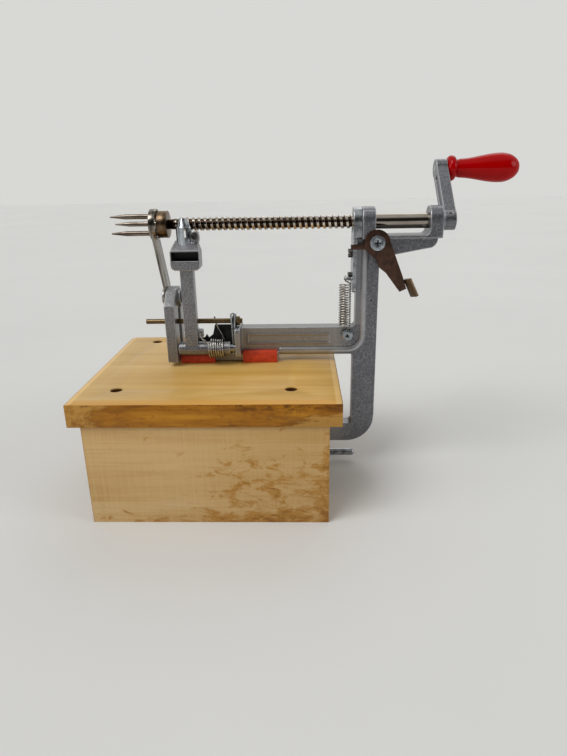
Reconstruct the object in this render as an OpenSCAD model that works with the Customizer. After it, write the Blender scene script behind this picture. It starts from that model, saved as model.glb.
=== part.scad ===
// Hand cranked apple peeler, corer and slicer, clamped to its wooden stand.
// X runs right along the lead screw, Y runs away from the cook and Z is up.
// The origin is the middle of the front rail's underside, where the stand meets the table.

/* [Stand] */
// Width of the top board, along the lead screw
board_w = 210; // [195:1:230]
// Depth of the top board, away from the cook
board_d = 188; // [180:1:210]
// Thickness of the top board
board_t = 19; // [16:0.5:24]
// Height of the stand
stand_h = 104; // [101:1:112]
// Thickness of each rail under the board
rail_t = 38; // [34:1:40]
// Overhang of the board past the rails' ends
side_overhang = 9.5; // [4:0.5:14]
// Overhang of the board past the rails' faces
face_overhang = 2; // [0:0.5:5]
// Screw holes from the left edge of the board
hole_from_left = 31; // [25:1:40]
// Screw holes from the right edge of the board
hole_from_right = 39; // [30:1:45]
// Front screw holes from the front edge of the board
hole_from_front = 31; // [15:1:33]
// Back screw holes from the back edge of the board
hole_from_back = 17; // [12:1:30]
// Width of the counterbores that hide the wood screws
counterbore_d = 10; // [9:0.5:12]
// Depth of the counterbores
counterbore_depth = 6; // [4:0.5:9]
// Wood screw shank
wood_screw_d = 4.5; // [3.5:0.1:5.5]
// Wood screw head
wood_head_d = 8.4; // [7:0.1:8.8]
// Thickness of a wood screw's head
wood_head_t = 3; // [2:0.1:3.8]
// Length of a wood screw under its head
wood_screw_l = 45; // [30:1:60]

/* [Lead screw] */
// Height of the lead screw above the board
shaft_rise = 121.5; // [115:0.5:130]
// Distance of the lead screw from the board's front edge
shaft_set_back = 111; // [100:1:120]
// Diameter of the smooth part that runs in the bearings
shaft_d = 12.7; // [12:0.1:13.5]
// Diameter over the thread's crests
thread_d = 11.4; // [10.6:0.1:11.8]
// Depth of the thread
thread_depth = 1.3; // [1:0.05:1.5]
// Pitch of the thread, the thickness of one apple slice
thread_pitch = 5; // [4.5:0.1:5.5]
// Width of the thread's crest
thread_crest = 2.2; // [1.8:0.1:2.4]
// Width of one sloping flank of the thread
thread_flank = 0.6; // [0.4:0.05:0.7]
// How far the fork's hub stands left of the arch's right face
fork_past = 3.7; // [3:0.1:6]
// Plain neck between the thread and the fork
neck_len = 3.5; // [2:0.5:6]
// Diameter of the neck and of the seat in the fork's hub
neck_d = 8; // [6:0.1:8.4]
// Turned-down end that holds the crank
crank_seat_d = 10; // [8:0.1:11]

/* [Fork] */
// Diameter of the fork's hub
hub_d = 22.5; // [20:0.5:22.5]
// Thickness of the fork's hub
hub_t = 8.3; // [6:0.1:10]
// Circle that the tines stand on
tine_circle_r = 8; // [7.2:0.1:8.2]
// Thickness of a tine
tine_d = 4.2; // [3.6:0.1:4.6]
// Reach of the tines from the hub
tine_reach = 40.5; // [34:0.5:46]
// Length of a tine's ground point
tine_point_l = 13; // [10:0.5:20]
// Blunt end of a tine's point
tine_tip_d = 1.2; // [0.6:0.1:1.6]
// Depth of the tines' seats in the hub
tine_seat = 7; // [4:0.5:8]

/* [Crank] */
// Thickness of the crank arm
crank_t = 10; // [9:0.5:12]
// Distance from the lead screw to the handle
crank_r = 61; // [55:0.5:70]
// Angle of the crank at rest, leaning back from upright
crank_lean = 47.5; // [30:0.5:60]
// Width of the crank arm
crank_w = 14; // [12:0.5:16]
// Diameter of the crank's boss and of its rounded end
crank_boss_d = 16.5; // [15:0.5:19]
// Width of the groove along each face of the crank arm
crank_groove_w = 6; // [4:0.5:7]
// Depth of the groove
crank_groove_depth = 1.8; // [1:0.1:2.5]
// Cross pin through the boss
crank_pin_d = 3; // [2.5:0.1:3.5]
// Thickness of the thrust washer
washer_t = 1.2; // [1:0.1:2]
// Diameter of the thrust washer
washer_d = 18; // [15:0.5:20]

/* [Handle] */
// Length of the handle
handle_l = 64; // [58:0.5:72]
// Diameter of the bead beside the crank
bead_d = 22; // [19:0.5:24]
// Roundness of the bead
bead_r = 4; // [3:0.25:5]
// Diameter of the neck behind the bead
grip_neck_d = 16; // [15:0.5:17]
// Greatest diameter of the grip
grip_d = 25; // [22:0.5:27]
// Where the neck lies along the handle
grip_neck_at = 10; // [9:0.5:12]
// Spindle that the handle turns on
spindle_d = 6.5; // [5:0.1:7.5]
// Head of the spindle
spindle_head_d = 10; // [9:0.1:12]
// Thickness of the spindle's head
spindle_head_t = 2; // [1.5:0.1:3]
// Depth of the spindle's head below the handle's end
spindle_sunk = 3; // [2:0.25:5]

/* [Frame casting] */
// Thickness of the casting
frame_t = 14; // [13:0.5:16]
// Gap between the board's edge and the clamp's post
post_gap = 15.5; // [12:0.5:19]
// Width of the clamp's post, below the arm
low_post_w = 21; // [20:0.5:24]
// Width of the upper post
post_w = 19.5; // [18.5:0.5:20.5]
// Gap between the board and the arm's underside
arm_gap = 6; // [5.5:0.25:8]
// Height of the arm
arm_h = 25; // [23:0.5:29]
// Length of the arm, from the post to its left end
arm_len = 105.6; // [102:0.2:112]
// Clear height of the clamp's throat
throat_h = 68.7; // [66:0.5:72]
// Thickness of the clamp's lower jaw
jaw_t = 18; // [16:0.5:20]
// Reach of the jaw past the clamp screw
jaw_tip = 12.5; // [11:0.5:16]
// Outer corner of the clamp
clamp_corner_r = 25; // [20:1:30]
// Rounded inner corners of the clamp
inner_r = 3; // [2:0.5:3.5]
// Outer radius of the bearings
bearing_r = 12.4; // [11.5:0.1:13.5]
// Width of each bearing
bearing_w = 11; // [10:0.5:13]
// Step from the post's left face to the front bearing
bearing_step = 4; // [3.5:0.5:6]
// Clear length between the two bearings
cradle_len = 45; // [42:0.5:50]
// Floor of the cradle, below the lead screw's axis
cradle_drop = 11; // [10:0.25:12]
// Thickness of the cradle's floor
cradle_floor_t = 2.7; // [2:0.1:4]
// Depth of the web at the post
cradle_web_h = 16.2; // [13:0.1:18]
// Depth of the web under the rear bearing
cradle_tip_h = 8.8; // [6:0.1:10]
// Width of the raised rib round the arm's lower edge
rib_w = 6; // [5:0.5:7]
// How far the rib stands proud
rib_proud = 1.5; // [1:0.1:2]
// Radius of the rib's corner
rib_corner_r = 14; // [12:0.5:15]
// Height of the raised border line on the arm's panel
border_proud = 0.6; // [0.4:0.1:1]
// Width of that line
border_w = 0.9; // [0.7:0.1:1.4]
// Length of the bordered panel
panel_l = 74; // [66:0.5:78]
// Height of the bordered panel
panel_h = 9; // [8:0.5:10]

/* [Foot and pads] */
// Width of the foot under the arm, front to back
foot_w = 21; // [19:0.5:24]
// Thickness of the foot
foot_t = 7; // [6:0.25:8]
// Length of one rubber pad
pad_l = 31; // [27:0.5:34]
// Thickness of the rubber
pad_wall = 2; // [1.5:0.1:2.5]
// Drop of the left pad's top edge below the foot's top
pad_drop = 1.4; // [1:0.1:2.5]
// Gap between the right pad and the ear
right_pad_gap = 0.8; // [0.5:0.1:3]

/* [Pivot end] */
// Thickness of the ear at the arm's left end
ear_t = 4.2; // [3.5:0.1:5]
// Clear length between the arch and the ear
pivot_span = 51.7; // [50.5:0.1:55]
// Thickness of the arch
arch_t = 9; // [8:0.25:11]
// Height of the arch above the board
arch_h = 67; // [64:0.5:72]
// Depth of the arch's front leg
front_leg_d = 16; // [15:0.5:18]
// Depth of the arch's rear leg
rear_leg_d = 9; // [7:0.5:11]
// Distance of the peeling arm's pivot in front of the lead screw
pivot_forward = 17; // [16.5:0.25:20]
// Height of the pivot above the board
pivot_rise = 15.5; // [15:0.25:17]
// Pivot rod
pivot_d = 7; // [6:0.1:7.5]
// Stop rod
rod_d = 4.4; // [4:0.1:5]
// Height of the stop rod above the board
rod_rise = 39; // [37.5:0.25:42]
// How far the stop rod runs past the arch
rod_past = 19; // [10:0.5:24]
// Size of the stop rod's nut across flats
rod_nut_af = 7; // [6.5:0.1:8]
// Thickness of that nut
rod_nut_t = 4; // [3:0.1:5]
// Thickness of the black rod bracket
bracket_t = 2.5; // [2:0.1:3]
// Height of the bracket's low wall
bracket_low_h = 13; // [11:0.5:15]
// Length of the bracket's high wall
bracket_high_l = 17; // [14:0.5:20]
// Distance of the bracket's wall behind the pivot
bracket_back = 11; // [10.8:0.1:11.5]

/* [Peeling arm] */
// Diameter of the peeling arm's hub
arm_hub_d = 11.7; // [10.5:0.1:12]
// Length of the hub
arm_hub_l = 45.7; // [44:0.1:47]
// Place of the arm along the hub
arm_at = 12; // [10.5:0.5:14]
// Width of the arm
peel_arm_w = 11.5; // [10.5:0.25:13]
// Thickness of the arm
peel_arm_t = 8; // [7:0.25:9]
// Height of the head's underside above the pivot
head_from = 70; // [66:0.5:74]
// Width of the head
head_w = 25; // [23:0.5:27]
// Height of the head
head_h = 24; // [22:0.5:26]
// Depth of the head, front to back
head_d = 13; // [11.5:0.25:14]
// Wall left at each end of the slot across the head
slot_wall = 1.25; // [1:0.05:3]
// Height of that slot
slot_h = 7.2; // [6:0.2:9]
// Depth of that slot
slot_depth = 9; // [6:0.25:10]
// Outer radius of the half round blade
blade_r = 6.6; // [5.5:0.1:7]
// Thickness of the blade's steel
blade_t = 1.2; // [0.8:0.1:1.6]
// Height of the blade's body above the head
blade_h = 10; // [8:0.5:12]
// Screw that holds the blade's lug
blade_screw_d = 4; // [3:0.1:4.5]
// Head of that screw
blade_head_d = 6; // [5.5:0.1:6.4]

/* [Corer and slicer] */
// Outer diameter of the coring ring
ring_d = 26; // [25.5:0.1:28]
// Wall of the coring ring
ring_wall = 1.4; // [1.2:0.1:1.5]
// Width of the coring ring
ring_w = 5.5; // [4:0.25:7]
// Gap between the ring and the fork's hub
ring_gap = 1; // [0.6:0.1:2]
// Width of the slicing strip
strip_w = 22; // [18:0.5:24]
// Thickness of the slicing strip
strip_t = 1.6; // [1.2:0.1:2]
// Corer bolt
corer_bolt_d = 6; // [5:0.1:7]
// Width of the corer bolt's round head
corer_head_d = 13; // [11:0.5:14]
// Thickness of the corer bolt's head
corer_head_t = 3.5; // [2.5:0.1:4]
// Corer nut across flats
corer_nut_af = 10; // [9:0.1:12]
// Thickness of the corer nut
corer_nut_t = 4; // [3:0.1:5]

/* [Release] */
// Thickness of the release lever's plate
lever_t = 2.2; // [1.8:0.1:2.6]
// Radius of the lever's round head
lever_head_r = 10.8; // [9:0.1:11.5]
// Height of the lever's pivot below the lead screw
lever_drop = 16.5; // [15:0.25:18]
// Distance of the lever's pivot from the post's right face
lever_inset = 3.2; // [2.5:0.1:6]
// Reach of the lever's lug to the left of its pivot
lug_reach = 22; // [21.2:0.1:23]
// Width of the lever's lug
lug_w = 4; // [3:0.1:5]
// Length of the lever's arm below its pivot
lever_arm_l = 41.3; // [38:0.1:44]
// Reach of the lever's arm to the right of its pivot
lever_arm_out = 26; // [24:0.1:28]
// Length of the thumb tab
thumb_l = 16.5; // [14:0.5:18]
// How far the thumb tab is folded forward
thumb_w = 9; // [7:0.5:11]
// Shoulder screw that the lever turns on
lever_pin_d = 6; // [5:0.1:7]
// Head of that screw
lever_screw_head_d = 12.4; // [10:0.1:14]
// Lift of the thread follower when the lever is pressed
follower_lift = 2.9; // [2.6:0.1:3.1]
// Thickness of the follower's stem
stem_t = 3.1; // [2.6:0.1:3.4]
// Width of the follower's stem
stem_w = 24; // [22:0.5:25]
// Length of the follower below the lead screw
stem_drop = 59; // [57:0.5:64]
// Reach of the follower's tooth into the thread
tooth_reach = 0.9; // [0.5:0.05:0.95]
// Guide screws of the follower
guide_screw_d = 4; // [3.4:0.1:4.4]
// Heads of the guide screws
guide_head_d = 7.5; // [7:0.1:8]
// Depth of the guide screws in the post
guide_depth = 9; // [6:0.5:12]

/* [Springs] */
// Outer diameter of the follower's spring
pull_spring_d = 11; // [10:0.1:11.2]
// Wire of the follower's spring
pull_wire_d = 1.3; // [1.1:0.05:1.35]
// Turns of the follower's spring
pull_turns = 17; // [14:1:17]
// Outer diameter of the peeling arm's spring
arm_spring_d = 17; // [16.4:0.1:17.4]
// Wire of the peeling arm's spring
arm_wire_d = 1.5; // [1.3:0.05:1.55]
// Turns of the peeling arm's spring
arm_turns = 6.5; // [5.5:1:6.5]
// Distance between those turns
arm_spring_pitch = 2; // [1.97:0.01:2.1]

/* [Clamp screw] */
// Distance of the clamp screw from the post
screw_from_post = 28.5; // [26:0.5:31]
// Diameter of the clamp screw
clamp_screw_d = 9.5; // [8:0.1:10.5]
// Diameter of the screw's knuckle
knuckle_d = 13; // [12:0.5:15]
// Height of the knuckle
knuckle_h = 11; // [10:0.5:12]
// Gap between the table and the knuckle
knuckle_rise = 2.3; // [2.2:0.1:3]
// Thickness of the bar through the knuckle
bar_d = 6.4; // [5.6:0.1:6.8]
// Length of that bar
bar_l = 66; // [56:1:68]
// Diameter of the pressure pad
press_pad_d = 22; // [18:0.5:25]
// Height of the pressure pad
press_pad_h = 8; // [7:0.5:10]

/* [Fits] */
// Radial clearance of shafts and pins in their bores
running_gap = 0.05; // [0.03:0.01:0.08]
// Gap between faces that slide past each other
sliding_gap = 0.3; // [0.25:0.05:0.4]
// Radial clearance of pieces that are fixed in their seats
seat_gap = 0.02; // [0.01:0.01:0.03]

/* [Hidden] */
$fn = 48;

// Overlap that lets one solid grow out of another
weld = 0.5;
// Extra length of a cutting tool past the face that it cuts
cut = 1;

// Stand
board_front = -rail_t / 2 - face_overhang;
board_back = board_front + board_d;
board_right = board_w / 2;
board_under = stand_h - board_t;
rail_l = board_w - 2 * side_overhang;
back_rail_y = board_back - face_overhang - rail_t / 2;
hole_x = [-board_right + hole_from_left, board_right - hole_from_right];
hole_y = [board_front + hole_from_front, board_back - hole_from_back];

// Lead screw's line and the casting's two faces
axis_y = board_front + shaft_set_back;
axis_z = stand_h + shaft_rise;
face_y = axis_y - frame_t / 2;
rear_y = axis_y + frame_t / 2;

// Clamp and post
post_x = board_right + post_gap;
post_right = post_x + low_post_w;
upper_post_x = post_right - post_w;
arm_z = stand_h + arm_gap;
arm_top = arm_z + arm_h;
jaw_top = arm_z - throat_h;
jaw_z = jaw_top - jaw_t;
clamp_x = post_x - screw_from_post;
jaw_left = clamp_x - jaw_tip;
dimple_inset = 5.5;
dimple_rise = 24;
dimple_d = 1.8;

// Bearings and cradle
front_bearing_x = upper_post_x + bearing_step;
rear_bearing_x = front_bearing_x + bearing_w + cradle_len;
cradle_right = rear_bearing_x + bearing_w;
cradle_z = axis_z - cradle_drop;
cradle_under = cradle_z - cradle_floor_t;
cradle_corner_r = cradle_drop - shaft_d / 2 - 2 * sliding_gap;

// Left end of the casting
ear_x = upper_post_x - arm_len;
arch_right = ear_x - pivot_span;
arch_x = arch_right - arch_t;
arch_top = stand_h + arch_h;
corer_bolt_drop = 8;
corer_bolt_z = arch_top - corer_bolt_drop;
arch_shoulder_drop = 12;
arch_boss_t = 3;
arch_boss_d = 2 * corer_bolt_drop + 2;
corer_nut_x = arch_right + arch_boss_t;
arch_head_h = 14;
strip_tab_l = 15;
pivot_y = axis_y - pivot_forward;
pivot_z = stand_h + pivot_rise;
foot_z = stand_h + pad_wall;
foot_top = foot_z + foot_t;
foot_front = axis_y - foot_w / 2;
foot_back = axis_y + foot_w / 2;
leg_front = pivot_y - 6;
leg_back = leg_front + front_leg_d;
rear_leg_back = foot_back + 2;
rear_leg_y = rear_leg_back - rear_leg_d;
left_pad_x = arch_right + 0.5;
right_pad_x = ear_x + ear_t + right_pad_gap;
rod_z = stand_h + rod_rise;
rod_y = pivot_y + peel_arm_t - 5 + sliding_gap + rod_d / 2;
ear_top = rod_z - rod_nut_af / 2 / cos(30) - 0.6;
bracket_flange_x = ear_x - sliding_gap - bracket_t;
cotter_x = ear_x - 1.9;
cotter_eye_rise = 29.5;
cotter_leg_drop = 7.5;
cotter_eye_z = pivot_z + cotter_eye_rise;
cotter_eye_r = 1.9;
cotter_leg_z = pivot_z - cotter_leg_drop;

// Lead screw along X
thread_right = front_bearing_x - 1.5;
smooth_left = front_bearing_x + 0.2;
hub_right = arch_right - fork_past;
thread_left = hub_right + neck_len;
thread_root_r = thread_d / 2 - thread_depth;
thread_turns = floor((thread_right - thread_left) / thread_pitch) - 1;
hub_left = hub_right - hub_t;
ring_right = hub_left - ring_gap;
ring_left = ring_right - ring_w;
crank_x = cradle_right + sliding_gap + washer_t;
handle_x = crank_x + crank_t + sliding_gap;
handle_y = axis_y + crank_r * sin(crank_lean);
handle_z = axis_z + crank_r * cos(crank_lean);
spindle_end = handle_x + handle_l - spindle_sunk;

// Peeling arm
arm_hub_x = arch_right + 1;
arm_x = arm_hub_x + arm_at;
arm_front = pivot_y - 5;
arm_back = arm_front + peel_arm_t;
head_z = pivot_z + head_from;
head_top = head_z + head_h;
head_back = min(arm_back + 2, axis_y - hub_d / 2 - 2 * sliding_gap);
head_front = head_back - head_d;
blade_y = head_back - 0.5;
slot_z = head_z + head_h / 3;
eaves_z = slot_z + slot_h + slot_wall;
roof_back = head_back - 2.5;
blade_x = arm_x - 1.5;
blade_lug_t = 5;
spring_lug_rise = 10.5;
spring_lug_h = 7;
spring_lug_d = 6;
blade_sunk = 5;
blade_screw_x = arm_x + head_w / 2 - 4.5;
blade_screw_z = head_top + blade_head_d / 2 + 0.8;

// Release lever and thread follower
lever_x = post_right - lever_inset;
lever_z = axis_z - lever_drop;
lever_back = axis_y - bearing_r - sliding_gap;
lever_front = lever_back - lever_t;
lever_pin_depth = 7.5;
stem_right = upper_post_x - sliding_gap;
stem_x = stem_right - stem_t;
follower_head_right = front_bearing_x - sliding_gap;
stem_z = axis_z - stem_drop;
lug_top = lever_z - 1.3;
guide_rise = 12.6;
guide_apart = 20;
guide_z = [stem_z + guide_rise, stem_z + guide_rise + guide_apart];
guide_head_t = 3;

// Follower's spring, between a pin on the follower and a screw on the arm
spring_screw_inset = 7;
spring_screw_drop = 6.7;
spring_screw_x = upper_post_x - spring_screw_inset;
spring_screw_z = arm_top - spring_screw_drop;
spring_screw_d = 4;
spring_screw_depth = 6.5;
spring_washer_t = 1;
spring_washer_y = face_y - 3.8;
spring_pin_d = 2.4;
spring_y = face_y - 1.4;
spring_x = min(spring_screw_x - 1.4, stem_x - pull_spring_d / 2 - 0.5);
spring_r = (pull_spring_d - pull_wire_d) / 2;
spring_foot = arm_top + pull_wire_d / 2 + 1;
spring_pin_rise = 12;
spring_loop_rise = 2.6;
spring_pin_z = stem_z + spring_pin_rise;
spring_head = spring_pin_z - spring_pin_d / 2 - pull_wire_d / 2 - spring_loop_rise;
pull_pitch = (spring_head - spring_foot) / pull_turns;

// Clamp screw
press_pad_z = board_under - press_pad_h;
knuckle_z = knuckle_rise;
knuckle_top = knuckle_z + knuckle_h;
bar_z = knuckle_z + knuckle_h / 2;

// Drawing helpers

// Extrudes a flat outline, drawn in X and Z, between two values of Y.
module between_y(y0, y1) {
    translate([0, y1, 0]) rotate([90, 0, 0]) linear_extrude(y1 - y0) children();
}

// Extrudes a flat outline, drawn in Y and Z, between two values of X.
module between_x(x0, x1) {
    translate([x0, 0, 0]) rotate([90, 0, 90]) linear_extrude(x1 - x0) children();
}

// Round bar along X between two values of X.
module bar_x(x0, x1, y, z, d) {
    translate([x0, y, z]) rotate([0, 90, 0]) cylinder(h = x1 - x0, d = d);
}

// Round bar along Y between two values of Y.
module bar_y(x, y0, y1, z, d) {
    translate([x, y0, z]) rotate([-90, 0, 0]) cylinder(h = y1 - y0, d = d);
}

// Flat rectangle from corner to corner.
module panel(x0, z0, x1, z1) {
    translate([x0, z0]) square([x1 - x0, z1 - z0]);
}

// Flat rectangle with round corners.
module round_panel(x0, z0, x1, z1, r) {
    panel(x0 + r, z0, x1 - r, z1);
    panel(x0, z0 + r, x1, z1 - r);
    for (x = [x0 + r, x1 - r])
        for (z = [z0 + r, z1 - r])
            translate([x, z]) circle(r);
}

// Rounded inside corner at a point; sx and sz point out of the corner into the open space.
module fillet(x, z, r, sx, sz) {
    translate([x, z]) difference() {
        translate([min(sx, 0) * r, min(sz, 0) * r]) square(r);
        translate([sx * r, sz * r]) circle(r);
    }
}

// Cross shaped driver recess, cut into a head whose face points to -Y.
module cross_recess(x, y, z, size) {
    for (turn = [0, 90])
        translate([x, y, z]) rotate([0, turn, 0]) cube([size, 2.4, size / 4], center = true);
}

// Steel tube that follows a list of points, as one closed skin of triangles.
function unit(v) = v / norm(v);
function along(p, i) = unit(p[min(i + 1, len(p) - 1)] - p[max(i - 1, 0)]);
function side_from(t, s) = unit(s - t * (s * t));
function sides_along(p, i, s) =
    i == len(p) ? [] : let (n = side_from(along(p, i), s)) concat([n], sides_along(p, i + 1, n));

module wire(p, d, start_side) {
    ring_sides = 6;
    count = len(p);
    sides = sides_along(p, 0, start_side);
    skin = [for (i = [0:count - 1])
                for (k = [0:ring_sides - 1])
                    let (n = sides[i], b = cross(along(p, i), n), a = 360 * k / ring_sides)
                        p[i] + d / 2 * (n * cos(a) + b * sin(a))];
    walls = [for (i = [0:count - 2])
                 for (k = [0:ring_sides - 1])
                     let (m = (k + 1) % ring_sides, a = i * ring_sides, b = a + ring_sides)
                         each [[a + k, b + k, b + m], [a + k, b + m, a + m]]];
    first = [for (k = [1:ring_sides - 2]) [0, k, k + 1]];
    last_ring = (count - 1) * ring_sides;
    last = [for (k = [1:ring_sides - 2]) [last_ring, last_ring + k + 1, last_ring + k]];
    polyhedron(skin, concat(walls, first, last));
}

// Least clear gap between stretches of one wire that lie more than a few points apart.
function least_gap(p, d, apart) =
    min([for (i = [0:len(p) - 1 - apart]) for (j = [i + apart:len(p) - 1]) norm(p[i] - p[j])]) - d;

// Stand

module stand_top() {
    color("burlywood") difference() {
        translate([-board_right, board_front, board_under]) cube([board_w, board_d, board_t]);
        for (x = hole_x)
            for (y = hole_y) {
                translate([x, y, stand_h - counterbore_depth])
                    cylinder(h = counterbore_depth + cut, d = counterbore_d);
                translate([x, y, board_under - cut])
                    cylinder(h = board_t + 2 * cut, d = wood_screw_d + 2 * seat_gap);
            }
    }
}

module rail(y) {
    color("wheat") difference() {
        translate([-rail_l / 2, y - rail_t / 2, 0]) cube([rail_l, rail_t, board_under]);
        for (x = hole_x)
            for (hole = hole_y)
                translate([x, hole, stand_h - counterbore_depth - wood_screw_l - cut])
                    cylinder(h = wood_screw_l + cut, d = wood_screw_d + 2 * seat_gap);
    }
}

module stand_front_rail() {
    rail(0);
}

module stand_back_rail() {
    rail(back_rail_y);
}

module stand_screws() {
    color("dimgray")
        for (x = hole_x)
            for (y = hole_y)
                translate([x, y, stand_h - counterbore_depth]) difference() {
                    union() {
                        cylinder(h = wood_head_t, d = wood_head_d);
                        translate([0, 0, -wood_screw_l]) cylinder(h = wood_screw_l + weld, d = wood_screw_d);
                    }
                    for (turn = [0, 90])
                        translate([0, 0, wood_head_t]) rotate([0, 0, turn])
                            cube([0.6 * wood_head_d, 0.14 * wood_head_d, 0.8 * wood_head_t], center = true);
                }
}

// Frame casting

// Outline of the clamp, the arm and the upper post.
module clamp_outline() {
    difference() {
        union() {
            panel(post_x, jaw_z, post_right, arm_top);
            panel(jaw_left + jaw_t / 2, jaw_z, post_right, jaw_top);
            translate([jaw_left + jaw_t / 2, jaw_z + jaw_t / 2]) circle(jaw_t / 2);
            fillet(post_x, jaw_top, inner_r, -1, 1);
            fillet(post_x, arm_z, inner_r, -1, -1);
        }
        panel(post_right - post_w - low_post_w, arm_top, upper_post_x, arm_top + cut);
        // Round outer corner
        difference() {
            panel(post_right - clamp_corner_r, jaw_z - cut, post_right + cut, jaw_z + clamp_corner_r);
            translate([post_right - clamp_corner_r, jaw_z + clamp_corner_r]) circle(clamp_corner_r);
        }
    }
    panel(ear_x, arm_z, post_right, arm_top);
    panel(upper_post_x, arm_top - weld, post_right, cradle_under + weld);
    fillet(upper_post_x, arm_top, inner_r, -1, 1);
}

// Half round rib along the arm's lower edge, round the corner and up the post.
module rib() {
    r = (rib_w * rib_w / 4 + rib_proud * rib_proud) / (2 * rib_proud);
    y = face_y + r - rib_proud;
    z = arm_z + rib_w / 2 + 0.8;
    corner_x = upper_post_x + 7 - rib_corner_r;
    corner_z = z + rib_corner_r;
    rib_left = right_pad_x + pad_l + 2;
    intersection() {
        union() {
            bar_x(rib_left, corner_x, y, z, 2 * r);
            translate([corner_x + rib_corner_r, y, corner_z])
                cylinder(h = lever_z - lever_head_r / 2 - corner_z, r = r);
            translate([corner_x, y, corner_z]) rotate([90, 0, 0]) rotate([0, 0, 270])
                rotate_extrude(angle = 90) translate([rib_corner_r, 0]) circle(r);
        }
        translate([rib_left - cut, face_y - rib_proud - cut, arm_z])
            cube([post_right - rib_left, rib_proud + cut + weld, axis_z - arm_z]);
    }
}

// Raised line round the bare panel on the arm.
module panel_border() {
    x0 = ear_x + ear_t + 5;
    z1 = arm_top - 5.5;
    between_y(face_y - border_proud, face_y + weld) difference() {
        round_panel(x0, z1 - panel_h, x0 + panel_l, z1, 1.5);
        round_panel(x0 + border_w, z1 - panel_h + border_w, x0 + panel_l - border_w, z1 - border_w, 1);
    }
}

// Bearing with a round top that stands on the cradle's floor.
module bearing(x) {
    bar_x(x, x + bearing_w, axis_y, axis_z, 2 * bearing_r);
    translate([x, axis_y - bearing_r, cradle_under]) cube([bearing_w, 2 * bearing_r, axis_z - cradle_under]);
}

// Floor under the lead screw, with the tapering web that carries it.
module cradle() {
    translate([front_bearing_x, axis_y - bearing_r, cradle_under])
        cube([cradle_right - front_bearing_x, 2 * bearing_r, cradle_floor_t]);
    between_y(axis_y - bearing_r, axis_y + bearing_r) {
        fillet(front_bearing_x + bearing_w, cradle_z, cradle_corner_r, 1, 1);
        fillet(rear_bearing_x, cradle_z, cradle_corner_r, -1, 1);
    }
    tip_r = cradle_tip_h - 1;
    tip_x = cradle_right - cradle_floor_t - tip_r;
    between_y(face_y, rear_y) {
        polygon([[post_right - weld, cradle_under + weld], [tip_x + tip_r, cradle_under + weld],
                 [tip_x + tip_r, cradle_under - cradle_tip_h + tip_r], [tip_x, cradle_under - cradle_tip_h],
                 [post_right - weld, cradle_under - cradle_web_h]]);
        translate([tip_x, cradle_under - cradle_tip_h + tip_r]) intersection() {
            circle(tip_r);
            translate([-tip_r / 4, -tip_r]) square(tip_r * 1.25);
        }
    }
}

// Upright arch at the left end: a front leg for the pivot, a rear leg on the foot and a head for the corer.
module arch() {
    shoulder = arch_top - arch_shoulder_drop;
    under = arch_top - arch_head_h;
    between_x(arch_x, arch_right)
        polygon([[leg_front, stand_h + 4], [leg_back, stand_h + 4], [leg_back, shoulder - 6],
                 [(leg_back + rear_leg_y) / 2, under], [rear_leg_y, shoulder - 6], [rear_leg_y, foot_z],
                 [rear_leg_back, foot_z], [rear_leg_back, shoulder + 8], [axis_y + 9, arch_top],
                 [axis_y - 9, arch_top], [leg_front, shoulder]]);
    bar_x(arch_x, corer_nut_x, axis_y, corer_bolt_z, arch_boss_d);
}

// Low foot that carries the arch and the arm.
module foot() {
    translate([arch_x, foot_front, foot_z])
        cube([right_pad_x + pad_l + 1 - arch_x, foot_w, foot_t]);
    translate([ear_x, face_y, foot_top - weld])
        cube([right_pad_x + pad_l + 1 - ear_x, frame_t, arm_z - foot_top + 2 * weld]);
}

// Upright ear that holds the pivot rod's right end.
module ear() {
    between_x(ear_x, ear_x + ear_t)
        round_panel(pivot_y - 7, pivot_z - 7, axis_y + frame_t / 2, ear_top, 3);
}

// Round boss that stands the lever clear of the rib and of the bearing.
module lever_boss() {
    bar_y(lever_x, lever_back + sliding_gap, face_y + weld, lever_z, lever_pin_d + 5);
}

module frame() {
    color("slategray") difference() {
        union() {
            between_y(face_y, rear_y) clamp_outline();
            rib();
            panel_border();
            bearing(front_bearing_x);
            bearing(rear_bearing_x);
            cradle();
            arch();
            foot();
            ear();
            lever_boss();
        }
        bar_x(front_bearing_x - cut, cradle_right + cut, axis_y, axis_z, shaft_d + 2 * running_gap);
        bar_x(arch_x - cut, arch_right + cut, pivot_y, pivot_z, pivot_d + 2 * running_gap);
        bar_x(ear_x - cut, ear_x + ear_t + cut, pivot_y, pivot_z, pivot_d + 2 * running_gap);
        bar_x(arch_x - cut, arch_right + cut, rod_y, rod_z, rod_d + 2 * seat_gap);
        bar_x(arch_x - cut, corer_nut_x + cut, axis_y, corer_bolt_z, corer_bolt_d + 2 * seat_gap);
        bar_y(lever_x, lever_back - cut, face_y + lever_pin_depth + weld, lever_z,
              lever_pin_d + 2 * seat_gap);
        bar_y(spring_screw_x, face_y - cut, face_y + spring_screw_depth + weld, spring_screw_z,
              spring_screw_d + 2 * seat_gap);
        for (z = guide_z)
            bar_x(upper_post_x - cut, upper_post_x + guide_depth, axis_y, z, guide_screw_d + 2 * seat_gap);
        translate([clamp_x, axis_y, jaw_z - cut])
            cylinder(h = jaw_t + 2 * cut, d = clamp_screw_d + 2 * running_gap);
        bar_y(post_right - dimple_inset, face_y - cut, face_y + dimple_d, arm_top + dimple_rise, dimple_d);
    }
}

// Rubber pad slipped over the foot's front edge and under it, up to a given height.
module pad(x, top) {
    color("orangered") difference() {
        translate([x, foot_front - pad_wall, stand_h]) cube([pad_l, foot_w + pad_wall, top - stand_h]);
        translate([x - cut, foot_front, foot_z]) cube([pad_l + 2 * cut, foot_w + cut, foot_t]);
        translate([x - cut, face_y, foot_z]) cube([pad_l + 2 * cut, foot_w, top - stand_h]);
    }
}

// The left pad stays low, under the peeling arm's spring.
module left_pad() {
    pad(left_pad_x, foot_top - pad_drop);
}

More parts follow.
